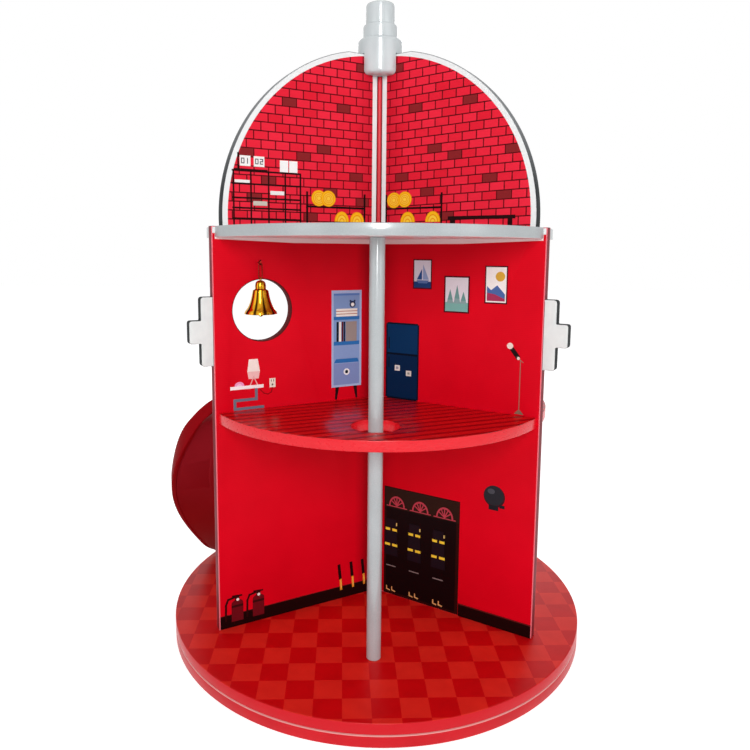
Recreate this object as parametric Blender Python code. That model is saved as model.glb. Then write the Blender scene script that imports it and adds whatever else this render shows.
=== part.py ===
"""A toy fire station in the shape of a hydrant, on a turning base.

Three upright boards stand in a star round a centre post and part the station into three open
sectors, each with a ground room, a middle room and a room under the dome. A round deck carries the
boards and turns on a ball ring over a round foot. Lengths are in metres, +Z is up, and the front
sector opens towards -Y. The origin is the middle of the foot's flat underside.
"""

import math

import bmesh
import bpy
from mathutils import Matrix, Vector

# Clearances and the cutters' overrun
FIT = 0.0003
OVERRUN = 0.004

# Boards and base
BOARD = 0.0095
PLATE_RADIUS = 0.200
TURNING_GAP = 0.001
PLATE_SEGMENTS = 64
EDGE_CHAMFER = 0.0008

# Walls, floors and dome
WALL_REACH = 0.166
FLOOR_RADIUS = 0.163
GROUND_ROOM_HEIGHT = 0.1945
MIDDLE_ROOM_HEIGHT = 0.1535
DOME_RADIUS = 0.157
DOME_CENTRE_RISE = 0.0075
DOME_HEIGHT = 0.1605
GROOVE_DEPTH = 0.002
DOME_STEPS = 18
FLOOR_ARC_STEPS = 22
LEFT, RIGHT, BACK = math.radians(210), math.radians(330), math.radians(90)
SECTOR_ANGLE = math.radians(120)

# Centre post
POST_DIAMETER = 0.014
POST_FLAT_DISTANCE = 0.0047
POST_ARC_STEPS = 3

# Fire pole and the holes it passes
POLE_DIAMETER = 0.0125
POLE_INSET = 0.043
POLE_REACH = FLOOR_RADIUS - POLE_INSET
POLE_SPIGOT_DIAMETER = 0.008
POLE_SPIGOT_LENGTH = 0.005
POLE_HOLE_DIAMETER = 0.0404
POLE_CHAMFER = 0.0006
POLE_SEGMENTS = 24
HOLE_SEGMENTS = 36

# Porthole and hydrant outlets
PORTHOLE_DIAMETER = 0.055
PORTHOLE_REACH = 0.121
PORTHOLE_ABOVE_CROWN = 0.0004
OUTLET_HEIGHT = 0.0605
OUTLET_DEPTH = 0.0104
OUTLET_ABOVE_FLOOR = 0.042
NOZZLE_HEIGHT = 0.020
NOZZLE_DEPTH = 0.0101
OUTLET_CORNER = 0.003
NOZZLE_CORNER = 0.0025
CORNER_STEPS = 4
DOWEL_DIAMETER = 0.006
DOWEL_LENGTH = 0.022

# Hydrant nut
NUT_SKIRT_RADIUS = 0.0208
NUT_NECK_RADIUS = 0.0162
NUT_CAP_RADIUS = 0.0136
NUT_SKIRT_DROP = 0.0187
NUT_SKIRT_HEIGHT = 0.0339
NUT_NECK_HEIGHT = 0.013
NUT_CAP_HEIGHT = 0.0193
NUT_SKIRT_ROUND = 0.003
NUT_ROUND = 0.002
NUT_SLOT_GAP = 0.0008
NUT_ROUND_STEPS = 2
NUT_SEGMENTS = 28

# Ball ring between foot and deck
RACE_OUTER_RADIUS = 0.060
RACE_WIDTH = 0.015
RACE_INNER_RADIUS = RACE_OUTER_RADIUS - RACE_WIDTH
RACE_PLATE = 0.002
RACE_GROOVE_DEPTH = 0.0008
RACE_GROOVE_TOP = 0.0036
RACE_GROOVE_FLOOR = 0.0024
BALL_DIAMETER = 0.004
BALL_COUNT = 12
CAGE_THICKNESS = 0.001
CAGE_WIDTH = 0.008
BALL_SEGMENTS = 8
BALL_RINGS = 4
RACE_SEGMENTS = 36

# Screws
WALL_SCREW_REACHES = (0.085, 0.145)
WALL_SCREW_LENGTH = 0.028
WALL_SCREW_DIAMETER = 0.0035
WALL_SCREW_HEAD = 0.007
RACE_SCREW_LENGTH = 0.006
RACE_SCREW_DIAMETER = 0.002
RACE_SCREW_HEAD = 0.0038
RACE_SCREW_COUNT = 3
SLIDE_SCREW_LENGTH = 0.008
SLIDE_SCREW_DIAMETER = 0.0025
SLIDE_SCREW_HEAD = 0.005
SCREW_SEGMENTS = 10
SCREW_RECESS = 0.0005
SCREW_HEAD_EDGE_SHARE = 0.04

# Slide: a helical chute about its own upright axis
SLIDE_AXIS_INSET = 0.0369
SLIDE_AXIS_REACH = FLOOR_RADIUS - SLIDE_AXIS_INSET
SLIDE_AXIS_ANGLE = math.radians(173.7)
SLIDE_WALL_GAP = 0.0011
SLIDE_WIDTH = 0.040
SLIDE_RIM_HEIGHT = 0.009
SLIDE_RIM_THICKNESS = 0.0024
SLIDE_BED_THICKNESS = 0.003
SLIDE_LIP_THICKNESS = 0.0022
SLIDE_LIP_BEAD = 0.0006
SLIDE_FILLET = 0.0018
SLIDE_LIP_WIDTH = 0.020
SLIDE_START_ANGLE = math.radians(263.3)
SLIDE_END_ANGLE = math.radians(127.3)
SLIDE_LIP_ANGLE = math.radians(8.5)
SLIDE_RIM_ANGLE = math.radians(2.5)
SLIDE_EASE_SHARE = 0.16
SLIDE_THICKEN_SHARE = 0.1
SLIDE_CORNER_SHARE = 0.25
SLIDE_BEND_SHARE = 0.25
SLIDE_STEPS = 28
SLIDE_NOTCH_STEPS = 12
SLIDE_NOTCH_MARGIN = 0.0012

# Bell on its screw eye in front of the porthole
BELL_REACH = 0.125
BELL_STANDOFF = 0.011
EYE_BELOW_CEILING = 0.0215
EYE_RADIUS = 0.0019
EYE_WIRE = 0.0012
EYE_SHANK_DEPTH = 0.006
EYE_SHANK_OVERLAP_SHARE = 0.25
LINK_WIRE = 0.0009
LINK_HALF_WIDTH = 0.0016
LINK_LENGTH = 0.01365
LOOP_RADIUS = 0.0017
LOOP_RISE = 0.0024
BELL_HEIGHT = 0.0295
BELL_RIM_RADIUS = 0.0146
BELL_CROWN_RADIUS = 0.00475
BELL_CROWN_HEIGHT = 0.008
BELL_SHOULDER_RADIUS = 0.0068
BELL_WALL = 0.0014
BELL_CROWN_SHARES = ((0.46, 0.05), (0.82, 0.22), (0.98, 0.55), (1.0, 0.94))
BELL_SKIRT_SHARES = (
    (-0.1, 0.01),
    (0.0, 0.06),
    (0.08, 0.18),
    (0.19, 0.36),
    (0.36, 0.56),
    (0.62, 0.76),
    (0.9, 0.9),
    (1, 1),
)
BELL_SEGMENTS = 22
STAPLE_RADIUS = 0.0013
STAPLE_WIRE = 0.0008
STAPLE_DROP = 0.0023
CLAPPER_BALL = 0.0045
CLAPPER_ROD = 0.0014
CLAPPER_BELOW_RIM = 0.0005
CLAPPER_SEGMENTS = 12
CLAPPER_STEPS = 8
WIRE_SIDES = 8
WIRE_STEPS = 16

# Heights worked out from the sizes above
DECK_BOTTOM = BOARD + TURNING_GAP
DECK_TOP = DECK_BOTTOM + BOARD
MIDDLE_BOTTOM = DECK_TOP + GROUND_ROOM_HEIGHT
MIDDLE_TOP = MIDDLE_BOTTOM + BOARD
UPPER_BOTTOM = MIDDLE_TOP + MIDDLE_ROOM_HEIGHT
SHOULDER = UPPER_BOTTOM + BOARD
DOME_TOP = SHOULDER + DOME_HEIGHT
OUTLET_BASE = MIDDLE_TOP - DECK_TOP + OUTLET_ABOVE_FLOOR
EYE_HEIGHT = UPPER_BOTTOM - DECK_TOP - EYE_BELOW_CEILING
WALL_INNER = POST_FLAT_DISTANCE + FIT
BELL_ANGLE = LEFT


def clear_scene():
    for obj in list(bpy.data.objects):
        bpy.data.objects.remove(obj, do_unlink=True)


def linear(channel):
    """One sRGB channel from 0 to 1 as linear light."""
    if channel <= 0.04045:
        return channel / 12.92
    return ((channel + 0.055) / 1.055) ** 2.4


def make_material(name, colour, roughness, metallic=0.0):
    """A Principled material from an sRGB hex colour."""
    material = bpy.data.materials.new(name)
    material.use_nodes = True
    shader = material.node_tree.nodes["Principled BSDF"]
    channels = [linear(int(colour[i : i + 2], 16) / 255) for i in (0, 2, 4)]
    shader.inputs["Base Color"].default_value = (*channels, 1)
    shader.inputs["Roughness"].default_value = roughness
    shader.inputs["Metallic"].default_value = metallic
    material.diffuse_color = (*channels, 1)
    return material


def polar(radius, angle):
    return Vector((radius * math.cos(angle), radius * math.sin(angle)))


def arc(centre, radius, start, end, steps):
    """Points along an arc in the plane, both ends included."""
    turns = [start + (end - start) * i / steps for i in range(steps + 1)]
    return [centre + polar(radius, turn) for turn in turns]


def prism(outline, bottom, top):
    """A mesh that stands on an outline in the XY plane, from one height to another."""
    mesh = bmesh.new()
    lower = [mesh.verts.new((x, y, bottom)) for x, y in outline]
    face = mesh.faces.new(lower)
    lifted = bmesh.ops.extrude_face_region(mesh, geom=[face])
    moved = [item for item in lifted["geom"] if isinstance(item, bmesh.types.BMVert)]
    bmesh.ops.translate(mesh, verts=moved, vec=(0, 0, top - bottom))
    bmesh.ops.recalc_face_normals(mesh, faces=mesh.faces)
    return mesh


def turned(profile, segments, closed=False):
    """A mesh turned round Z from (radius, height) points. A radius of zero becomes one point."""
    mesh = bmesh.new()
    rings = []
    for radius, height in profile:
        if radius == 0:
            rings.append([mesh.verts.new((0, 0, height))])
            continue
        places = [polar(radius, math.tau * i / segments) for i in range(segments)]
        rings.append([mesh.verts.new((x, y, height)) for x, y in places])
    pairs = list(zip(rings, rings[1:]))
    if closed:
        pairs.append((rings[-1], rings[0]))
    for first, second in pairs:
        for i in range(segments):
            j = (i + 1) % segments
            corners = [first[i % len(first)], first[j % len(first)]]
            corners += [second[j % len(second)], second[i % len(second)]]
            mesh.faces.new(dict.fromkeys(corners))
    bmesh.ops.recalc_face_normals(mesh, faces=mesh.faces)
    return mesh


def lofted(rings, closed=False):
    """A mesh through rings of like points, with flat ends unless the last ring joins the first."""
    mesh = bmesh.new()
    loops = [[mesh.verts.new(point) for point in ring] for ring in rings]
    pairs = list(zip(loops, loops[1:]))
    if closed:
        pairs.append((loops[-1], loops[0]))
    else:
        mesh.faces.new(loops[0])
        mesh.faces.new(loops[-1])
    for first, second in pairs:
        for i in range(len(first)):
            j = (i + 1) % len(first)
            mesh.faces.new((first[i], first[j], second[j], second[i]))
    bmesh.ops.recalc_face_normals(mesh, faces=mesh.faces)
    return mesh


def wire(path, diameter, closed=False):
    """A round wire along a path of points that lies in the XZ plane."""
    rings = []
    for i, point in enumerate(path):
        before = path[i - 1] if closed or i else point
        after = path[(i + 1) % len(path)] if closed or i + 1 < len(path) else point
        along = (after - before).normalized()
        aside = Vector((0, 1, 0))
        across = along.cross(aside)
        turns = [math.tau * k / WIRE_SIDES for k in range(WIRE_SIDES)]
        half = diameter / 2
        rings.append([point + (across * math.cos(t) + aside * math.sin(t)) * half for t in turns])
    return lofted(rings, closed)


def place(mesh, spin=0.0, offset=(0, 0, 0)):
    """Turns a mesh about Z and then moves it."""
    matrix = Matrix.Translation(offset) @ Matrix.Rotation(spin, 4, "Z")
    mesh.transform(matrix)
    return mesh


def merge(*meshes):
    """One mesh that holds several closed shells, for a cutter."""
    whole = meshes[0]
    for other in meshes[1:]:
        copy = bpy.data.meshes.new("shells")
        other.to_mesh(copy)
        whole.from_mesh(copy)
        bpy.data.meshes.remove(copy)
        other.free()
    return whole


def make_object(name, mesh, material=None, origin=(0, 0, 0), parent=None):
    """An object whose mesh is given in world places and whose origin is set apart from them."""
    origin = Vector(origin)
    mesh.transform(Matrix.Translation(-origin))
    data = bpy.data.meshes.new(name)
    mesh.to_mesh(data)
    mesh.free()
    data.shade_smooth()
    data.set_sharp_from_angle(angle=math.radians(35))
    obj = bpy.data.objects.new(name, data)
    bpy.context.scene.collection.objects.link(obj)
    obj.location = origin
    if parent:
        obj.parent = parent
        obj.matrix_parent_inverse = Matrix.Translation(parent_place(parent)).inverted()
    if material:
        data.materials.append(material)
    return obj


def parent_place(obj):
    """The world place of an object that is only moved, never turned."""
    return obj.location if obj.parent is None else obj["world_place"]


def make_pivot(name, origin, parent=None):
    """An empty on a joint's axis."""
    pivot = bpy.data.objects.new(name, None)
    bpy.context.scene.collection.objects.link(pivot)
    pivot["world_place"] = Vector(origin)
    pivot.location = Vector(origin)
    if parent:
        pivot.parent = parent
        pivot.matrix_parent_inverse = Matrix.Translation(parent_place(parent)).inverted()
    return pivot


def cut(obj, name, mesh):
    """Takes a mesh out of an object with a hidden cutter."""
    cutter = make_object(name + "_cutter", mesh)
    cutter.hide_render = True
    cutter.display_type = "WIRE"
    modifier = obj.modifiers.new(name, "BOOLEAN")
    modifier.operation = "DIFFERENCE"
    modifier.solver = "EXACT"
    modifier.object = cutter


def join(obj, name, mesh):
    """Adds a mesh to an object with a hidden helper."""
    helper = make_object(name + "_helper", mesh)
    helper.hide_render = True
    helper.display_type = "WIRE"
    modifier = obj.modifiers.new(name, "BOOLEAN")
    modifier.operation = "UNION"
    modifier.solver = "EXACT"
    modifier.object = helper


def chamfer(obj, width):
    """Breaks the sharp edges of a board."""
    modifier = obj.modifiers.new("Chamfer", "BEVEL")
    modifier.width = width
    modifier.segments = 1
    modifier.limit_method = "ANGLE"
    modifier.angle_limit = math.radians(35)


def upright(mesh, angle):
    """Turns a board drawn flat in XY, with X outwards and Y up, upright along a direction."""
    stand = Matrix.Rotation(math.radians(90), 4, "X")
    mesh.transform(Matrix.Rotation(angle, 4, "Z") @ stand)
    return mesh


def on_wall(angle, reach, height, standoff=0.0):
    """A world place by a wall: outwards along it, above the deck, and out from its middle plane."""
    along = polar(reach, angle)
    aside = polar(standoff, angle + math.radians(90))
    return Vector((*(along + aside), DECK_TOP + height))


def rod(diameter, bottom, top, segments=SCREW_SEGMENTS):
    radius = diameter / 2
    return turned([(0, bottom), (radius, bottom), (radius, top), (0, top)], segments)


def screw_profile(length, shank, head, gap, tail):
    """A countersunk screw that points up, its head's flat face at zero."""
    taper = (head - shank) / 2
    point = shank / 2
    return [
        (0, -tail),
        (head / 2 + gap, -tail),
        (head / 2 + gap, gap),
        (shank / 2 + gap, taper + gap),
        (shank / 2 + gap, length - point + gap),
        (0, length + gap),
    ]


def flipped(mesh):
    """Turns a piece that points up so that it points down."""
    mesh.transform(Matrix.Rotation(math.pi, 4, "X"))
    return mesh


def screw_mesh(length, shank, head):
    """A screw that points up, its head given a thin rim."""
    profile = screw_profile(length, shank, head, 0, 0)
    profile[2] = (head / 2, (head - shank) * SCREW_HEAD_EDGE_SHARE)
    return turned(profile, SCREW_SEGMENTS)


def screw_hole(length, shank, head, tail=OVERRUN):
    return turned(screw_profile(length, shank, head, FIT, tail), SCREW_SEGMENTS)


WALL_SCREW = (WALL_SCREW_LENGTH, WALL_SCREW_DIAMETER, WALL_SCREW_HEAD)
RACE_SCREW = (RACE_SCREW_LENGTH, RACE_SCREW_DIAMETER, RACE_SCREW_HEAD)
SLIDE_SCREW = (SLIDE_SCREW_LENGTH, SLIDE_SCREW_DIAMETER, SLIDE_SCREW_HEAD)


def wall_screw_places(angle):
    level = DECK_BOTTOM + SCREW_RECESS
    return [Vector((*polar(reach, angle), level)) for reach in WALL_SCREW_REACHES]


def pocket_depth():
    """How deep each base board is let in, so that races, balls and gaps fill the space between."""
    stack = 2 * (RACE_PLATE - RACE_GROOVE_DEPTH + 2 * FIT) + BALL_DIAMETER
    return (stack - TURNING_GAP) / 2


def race_screw_reach():
    groove_edge = (RACE_INNER_RADIUS + RACE_OUTER_RADIUS + RACE_GROOVE_TOP) / 2
    return (groove_edge + RACE_OUTER_RADIUS) / 2


def race_screw_turns(shift):
    return [math.tau * (i + shift) / RACE_SCREW_COUNT for i in range(RACE_SCREW_COUNT)]


def ring_pocket(bottom, top):
    inner, outer = RACE_INNER_RADIUS - FIT, RACE_OUTER_RADIUS + FIT
    profile = [(inner, bottom), (outer, bottom), (outer, top), (inner, top)]
    return turned(profile, RACE_SEGMENTS, closed=True)


def base_plate(name, bottom, material, parent=None):
    """A round board with broken edges."""
    radius, edge = PLATE_RADIUS, EDGE_CHAMFER
    top = bottom + BOARD
    profile = [
        (0, bottom),
        (radius - edge, bottom),
        (radius, bottom + edge),
        (radius, top - edge),
        (radius - edge, top),
        (0, top),
    ]
    return make_object(name, turned(profile, PLATE_SEGMENTS), material, (0, 0, bottom), parent)


def build_foot(wood):
    foot = base_plate("foot_disc", 0, wood)
    cut(foot, "Ball ring pocket", ring_pocket(BOARD - pocket_depth(), BOARD + OVERRUN))
    seat = BOARD - pocket_depth() + FIT
    holes = []
    for turn in race_screw_turns(0):
        hole = flipped(screw_hole(*RACE_SCREW))
        holes.append(place(hole, 0, (*polar(race_screw_reach(), turn), seat + RACE_PLATE)))
    cut(foot, "Race screw holes", merge(*holes))
    return foot


def build_deck(wood, pivot):
    deck = base_plate("deck_disc", DECK_BOTTOM, wood, pivot)
    cut(deck, "Ball ring pocket", ring_pocket(DECK_BOTTOM - OVERRUN, DECK_BOTTOM + pocket_depth()))
    seat = DECK_BOTTOM + pocket_depth() - FIT
    holes = []
    for turn in race_screw_turns(1 / 2):
        spot = (*polar(race_screw_reach(), turn), seat - RACE_PLATE)
        holes.append(place(screw_hole(*RACE_SCREW), 0, spot))
    for angle in (LEFT, RIGHT, BACK):
        for spot in wall_screw_places(angle):
            holes.append(place(screw_hole(*WALL_SCREW), 0, spot))
    holes.append(place(screw_hole(*WALL_SCREW), 0, (0, 0, DECK_BOTTOM + SCREW_RECESS)))
    spigot = rod(POLE_SPIGOT_DIAMETER + 2 * FIT, -POLE_SPIGOT_LENGTH - FIT, OVERRUN)
    holes.append(place(spigot, 0, (0, -POLE_REACH, DECK_TOP)))
    slide_hole = flipped(screw_hole(*SLIDE_SCREW))
    holes.append(place(slide_hole, 0, slide_screw_place(SLIDE_END_ANGLE, -1, DECK_TOP)))
    cut(deck, "Screw and pole holes", merge(*holes))


def race_profile(seat, side):
    """A flat ring with a groove for the balls. Side is 1 for the lower ring and -1 for the upper."""
    middle = (RACE_INNER_RADIUS + RACE_OUTER_RADIUS) / 2
    face = seat + side * RACE_PLATE
    floor = face - side * RACE_GROOVE_DEPTH
    return [
        (RACE_INNER_RADIUS, seat),
        (RACE_OUTER_RADIUS, seat),
        (RACE_OUTER_RADIUS, face),
        (middle + RACE_GROOVE_TOP / 2, face),
        (middle + RACE_GROOVE_FLOOR / 2, floor),
        (middle - RACE_GROOVE_FLOOR / 2, floor),
        (middle - RACE_GROOVE_TOP / 2, face),
        (RACE_INNER_RADIUS, face),
    ]


def build_races(steel, screw_steel, pivot):
    for name, seat, side, shift, parent in (
        ("lower_race", BOARD - pocket_depth() + FIT, 1, 0, None),
        ("upper_race", DECK_BOTTOM + pocket_depth() - FIT, -1, 1 / 2, pivot),
    ):
        face = seat + side * RACE_PLATE
        ring = turned(race_profile(seat, side), RACE_SEGMENTS, closed=True)
        race = make_object(name, ring, steel, (0, 0, seat), parent)
        holes = []
        for count, turn in enumerate(race_screw_turns(shift), 1):
            spot = Vector((*polar(race_screw_reach(), turn), face))
            hole = screw_hole(*RACE_SCREW)
            screw = screw_mesh(*RACE_SCREW)
            if side > 0:
                hole, screw = flipped(hole), flipped(screw)
            holes.append(place(hole, 0, spot))
            inset = Vector((0, 0, side * FIT))
            screw = place(screw, 0, spot - inset)
            make_object(f"{name}_screw_{count}", screw, screw_steel, spot, parent)
        cut(race, "Screw holes", merge(*holes))


def build_ball_cage(steel, pivot):
    """A thin ring that carries the balls half way between the races."""
    reach = (RACE_INNER_RADIUS + RACE_OUTER_RADIUS) / 2
    height = (BOARD + DECK_BOTTOM) / 2
    inner, outer = reach - CAGE_WIDTH / 2, reach + CAGE_WIDTH / 2
    bottom, top = height - CAGE_THICKNESS / 2, height + CAGE_THICKNESS / 2
    profile = [(inner, bottom), (outer, bottom), (outer, top), (inner, top)]
    ring = turned(profile, RACE_SEGMENTS, closed=True)
    cage = make_object("ball_cage", ring, steel, (0, 0, height), pivot)
    balls = []
    for i in range(BALL_COUNT):
        ball = bmesh.new()
        counts = {"u_segments": BALL_SEGMENTS, "v_segments": BALL_RINGS}
        bmesh.ops.create_uvsphere(ball, radius=BALL_DIAMETER / 2, **counts)
        balls.append(place(ball, 0, (*polar(reach, math.tau * i / BALL_COUNT), height)))
    join(cage, "Balls", merge(*balls))


def post_outline():
    """A round dowel with three flats, each towards a wall."""
    radius = POST_DIAMETER / 2
    half = math.acos(POST_FLAT_DISTANCE / radius)
    points = []
    for wall in (LEFT, RIGHT, BACK):
        start, end = wall + half, wall + SECTOR_ANGLE - half
        points += arc(Vector((0, 0)), radius, start, end, POST_ARC_STEPS)
    return points


def build_post(wood, pivot):
    bottom = DECK_TOP + FIT
    top = DOME_TOP - NUT_SKIRT_DROP - FIT
    post = make_object("centre_post", prism(post_outline(), bottom, top), wood, (0, 0, bottom), pivot)
    hole = screw_hole(*WALL_SCREW)
    cut(post, "Screw hole", place(hole, 0, (0, 0, DECK_BOTTOM + SCREW_RECESS)))


def wall_outline():
    """Half of a hydrant's outline, X outwards from the axis and Y above the deck.

    The dome is one arc about a centre on the axis, cut off flat where the nut sits.
    """
    shoulder = SHOULDER - DECK_TOP
    centre = Vector((0, shoulder + DOME_CENTRE_RISE))
    start = -math.asin(DOME_CENTRE_RISE / DOME_RADIUS)
    end = math.asin((DOME_HEIGHT - DOME_CENTRE_RISE) / DOME_RADIUS)
    points = [Vector((WALL_INNER, FIT)), Vector((WALL_REACH, FIT)), Vector((WALL_REACH, shoulder))]
    points += arc(centre, DOME_RADIUS, start, end, DOME_STEPS)
    points.append(Vector((WALL_INNER, shoulder + DOME_HEIGHT)))
    return points


def groove_boxes():
    """Cutters for the housings that the floors' straight edges sit in, on both faces of a wall."""
    boxes = []
    for bottom in (MIDDLE_BOTTOM, UPPER_BOTTOM):
        low, high = bottom - DECK_TOP - FIT, bottom - DECK_TOP + BOARD + FIT
        outline = [(0, low), (FLOOR_RADIUS + FIT, low), (FLOOR_RADIUS + FIT, high), (0, high)]
        inner, outer = BOARD / 2 - GROOVE_DEPTH, BOARD / 2 + OVERRUN
        boxes.append(prism(outline, inner, outer))
        boxes.append(prism(outline, -outer, -inner))
    return boxes


def build_wall(name, angle, wood, pivot):
    mesh = prism(wall_outline(), -BOARD / 2, BOARD / 2)
    upright(mesh, angle)
    mesh.transform(Matrix.Translation((0, 0, DECK_TOP)))
    wall = make_object(name, mesh, wood, on_wall(angle, WALL_INNER, 0), pivot)
    chamfer(wall, EDGE_CHAMFER)
    grooves = upright(merge(*groove_boxes()), angle)
    cut(wall, "Floor housings", place(grooves, 0, (0, 0, DECK_TOP)))
    holes = [place(screw_hole(*WALL_SCREW), 0, spot) for spot in wall_screw_places(angle)]
    holes.append(dowel_hole(angle))
    cut(wall, "Screw and dowel holes", merge(*holes))
    return wall


def cut_porthole(wall):
    """The round window, whose top is just above the bell's crown."""
    hole = rod(PORTHOLE_DIAMETER, -BOARD, BOARD, segments=HOLE_SEGMENTS)
    middle = crown_top() + PORTHOLE_ABOVE_CROWN - PORTHOLE_DIAMETER / 2
    hole.transform(Matrix.Translation((PORTHOLE_REACH, middle, 0)))
    upright(hole, LEFT)
    cut(wall, "Porthole", place(hole, 0, (0, 0, DECK_TOP)))


def outlet_middle():
    return OUTLET_BASE + OUTLET_HEIGHT / 2


def dowel_hole(angle):
    """Cutter for the dowel that pins an outlet to the wall's outer edge."""
    start = WALL_REACH - DOWEL_LENGTH / 2 - FIT
    hole = rod(DOWEL_DIAMETER + 2 * FIT, start, start + DOWEL_LENGTH + 2 * FIT)
    hole.transform(Matrix.Rotation(math.radians(90), 4, "Y"))
    return place(hole, angle, (0, 0, DECK_TOP + outlet_middle()))


def rounded_corner(corner, radius, start):
    """A quarter of a circle that rounds a convex corner, turning anticlockwise from start."""
    inward = polar(radius * math.sqrt(2), start + math.radians(225))
    return arc(corner + inward, radius, start, start + math.radians(90), CORNER_STEPS)


def outlet_outline():
    """A hydrant's side outlet: a rounded flange with a narrower nozzle in its middle."""
    inner, outer = WALL_REACH + FIT, WALL_REACH + FIT + OUTLET_DEPTH
    tip = outer + NOZZLE_DEPTH
    low, high = OUTLET_BASE, OUTLET_BASE + OUTLET_HEIGHT
    nozzle_low, nozzle_high = outlet_middle() - NOZZLE_HEIGHT / 2, outlet_middle() + NOZZLE_HEIGHT / 2
    right_down, right_up = math.radians(-90), 0
    points = [Vector((inner, low))]
    points += rounded_corner(Vector((outer, low)), OUTLET_CORNER, right_down)
    points.append(Vector((outer, nozzle_low)))
    points += rounded_corner(Vector((tip, nozzle_low)), NOZZLE_CORNER, right_down)
    points += rounded_corner(Vector((tip, nozzle_high)), NOZZLE_CORNER, right_up)
    points.append(Vector((outer, nozzle_high)))
    points += rounded_corner(Vector((outer, high)), OUTLET_CORNER, right_up)
    points.append(Vector((inner, high)))
    return points


def build_outlet(name, angle, paint, wood, pivot):
    mesh = prism(outlet_outline(), -BOARD / 2, BOARD / 2)
    upright(mesh, angle)
    mesh.transform(Matrix.Translation((0, 0, DECK_TOP)))
    outlet = make_object(name, mesh, paint, on_wall(angle, WALL_REACH, outlet_middle()), pivot)
    chamfer(outlet, EDGE_CHAMFER)
    cut(outlet, "Dowel hole", dowel_hole(angle))
    dowel = rod(DOWEL_DIAMETER, -DOWEL_LENGTH / 2, DOWEL_LENGTH / 2)
    dowel.transform(Matrix.Rotation(math.radians(90), 4, "Y"))
    place(dowel, angle, on_wall(angle, WALL_REACH, outlet_middle()))
    make_object(name + "_dowel", dowel, wood, on_wall(angle, WALL_REACH, outlet_middle()), pivot)


def floor_outline(wall):
    """The plan of a floor between one wall and the next, its straight edges inside their housings."""
    edge = BOARD / 2 - GROOVE_DEPTH + FIT
    hole = POST_DIAMETER / 2 + FIT
    outer, inner = math.asin(edge / FLOOR_RADIUS), math.asin(edge / hole)
    middle = Vector((0, 0))
    points = arc(middle, FLOOR_RADIUS, wall + outer, wall + SECTOR_ANGLE - outer, FLOOR_ARC_STEPS)
    points += arc(middle, hole, wall + SECTOR_ANGLE - inner, wall + inner, POST_ARC_STEPS)
    return points


def build_floor(name, wall, bottom, wood, pivot):
    origin = (*polar(FLOOR_RADIUS / 2, wall + SECTOR_ANGLE / 2), bottom)
    mesh = prism(floor_outline(wall), bottom, bottom + BOARD)
    board = make_object(name, mesh, wood, origin, pivot)
    chamfer(board, EDGE_CHAMFER)
    return board


def build_floors(planks, silver, pivot):
    middle, upper = {}, {}
    for key, wall in (("front", LEFT), ("right", RIGHT), ("left", BACK)):
        middle[key] = build_floor(f"{key}_middle_floor", wall, MIDDLE_BOTTOM, planks, pivot)
        upper[key] = build_floor(f"{key}_upper_floor", wall, UPPER_BOTTOM, silver, pivot)
    low, high = MIDDLE_BOTTOM - OVERRUN, MIDDLE_TOP + OVERRUN
    hole = rod(POLE_HOLE_DIAMETER, low, high, segments=HOLE_SEGMENTS)
    cut(middle["front"], "Pole hole", place(hole, 0, (0, -POLE_REACH, 0)))
    spigot = rod(POLE_SPIGOT_DIAMETER + 2 * FIT, -OVERRUN, POLE_SPIGOT_LENGTH + FIT)
    cut(upper["front"], "Spigot hole", place(spigot, 0, (0, -POLE_REACH, UPPER_BOTTOM)))
    cut(middle["left"], "Slide notch", slide_notch())
    slide_hole = flipped(screw_hole(*SLIDE_SCREW))
    spot = slide_screw_place(SLIDE_START_ANGLE, 1, MIDDLE_TOP)
    cut(middle["left"], "Slide screw hole", place(slide_hole, 0, spot))


def build_pole(steel, pivot):
    """The firefighters' pole, turned with a spigot at each end."""
    radius, spigot, edge = POLE_DIAMETER / 2, POLE_SPIGOT_DIAMETER / 2, POLE_CHAMFER
    bottom, top = DECK_TOP + FIT, UPPER_BOTTOM - FIT
    profile = [
        (0, bottom - POLE_SPIGOT_LENGTH),
        (spigot, bottom - POLE_SPIGOT_LENGTH),
        (spigot, bottom),
        (radius - edge, bottom),
        (radius, bottom + edge),
        (radius, top - edge),
        (radius - edge, top),
        (spigot, top),
        (spigot, top + POLE_SPIGOT_LENGTH),
        (0, top + POLE_SPIGOT_LENGTH),
    ]
    mesh = place(turned(profile, POLE_SEGMENTS), 0, (0, -POLE_REACH, 0))
    make_object("fire_pole", mesh, steel, (0, -POLE_REACH, bottom), pivot)


def rounded_edge(radius, level, side, corner):
    """A turned disc's soft edge, going up: side is 1 at its lower face and -1 at its upper face."""
    start, end = sorted((0, math.radians(-90) * side))
    centre = Vector((radius - corner, level + side * corner))
    return [tuple(point) for point in arc(centre, corner, start, end, NUT_ROUND_STEPS)]


def star_outline(half_width, reach):
    """Three arms along the walls, joined at the axis."""
    inner = half_width / math.sin(SECTOR_ANGLE / 2)
    points = []
    for wall in (LEFT, RIGHT, BACK):
        along, aside = polar(1, wall), polar(1, wall + math.radians(90))
        points.append(along * reach - aside * half_width)
        points.append(along * reach + aside * half_width)
        points.append(polar(inner, wall + SECTOR_ANGLE / 2))
    return points


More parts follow.
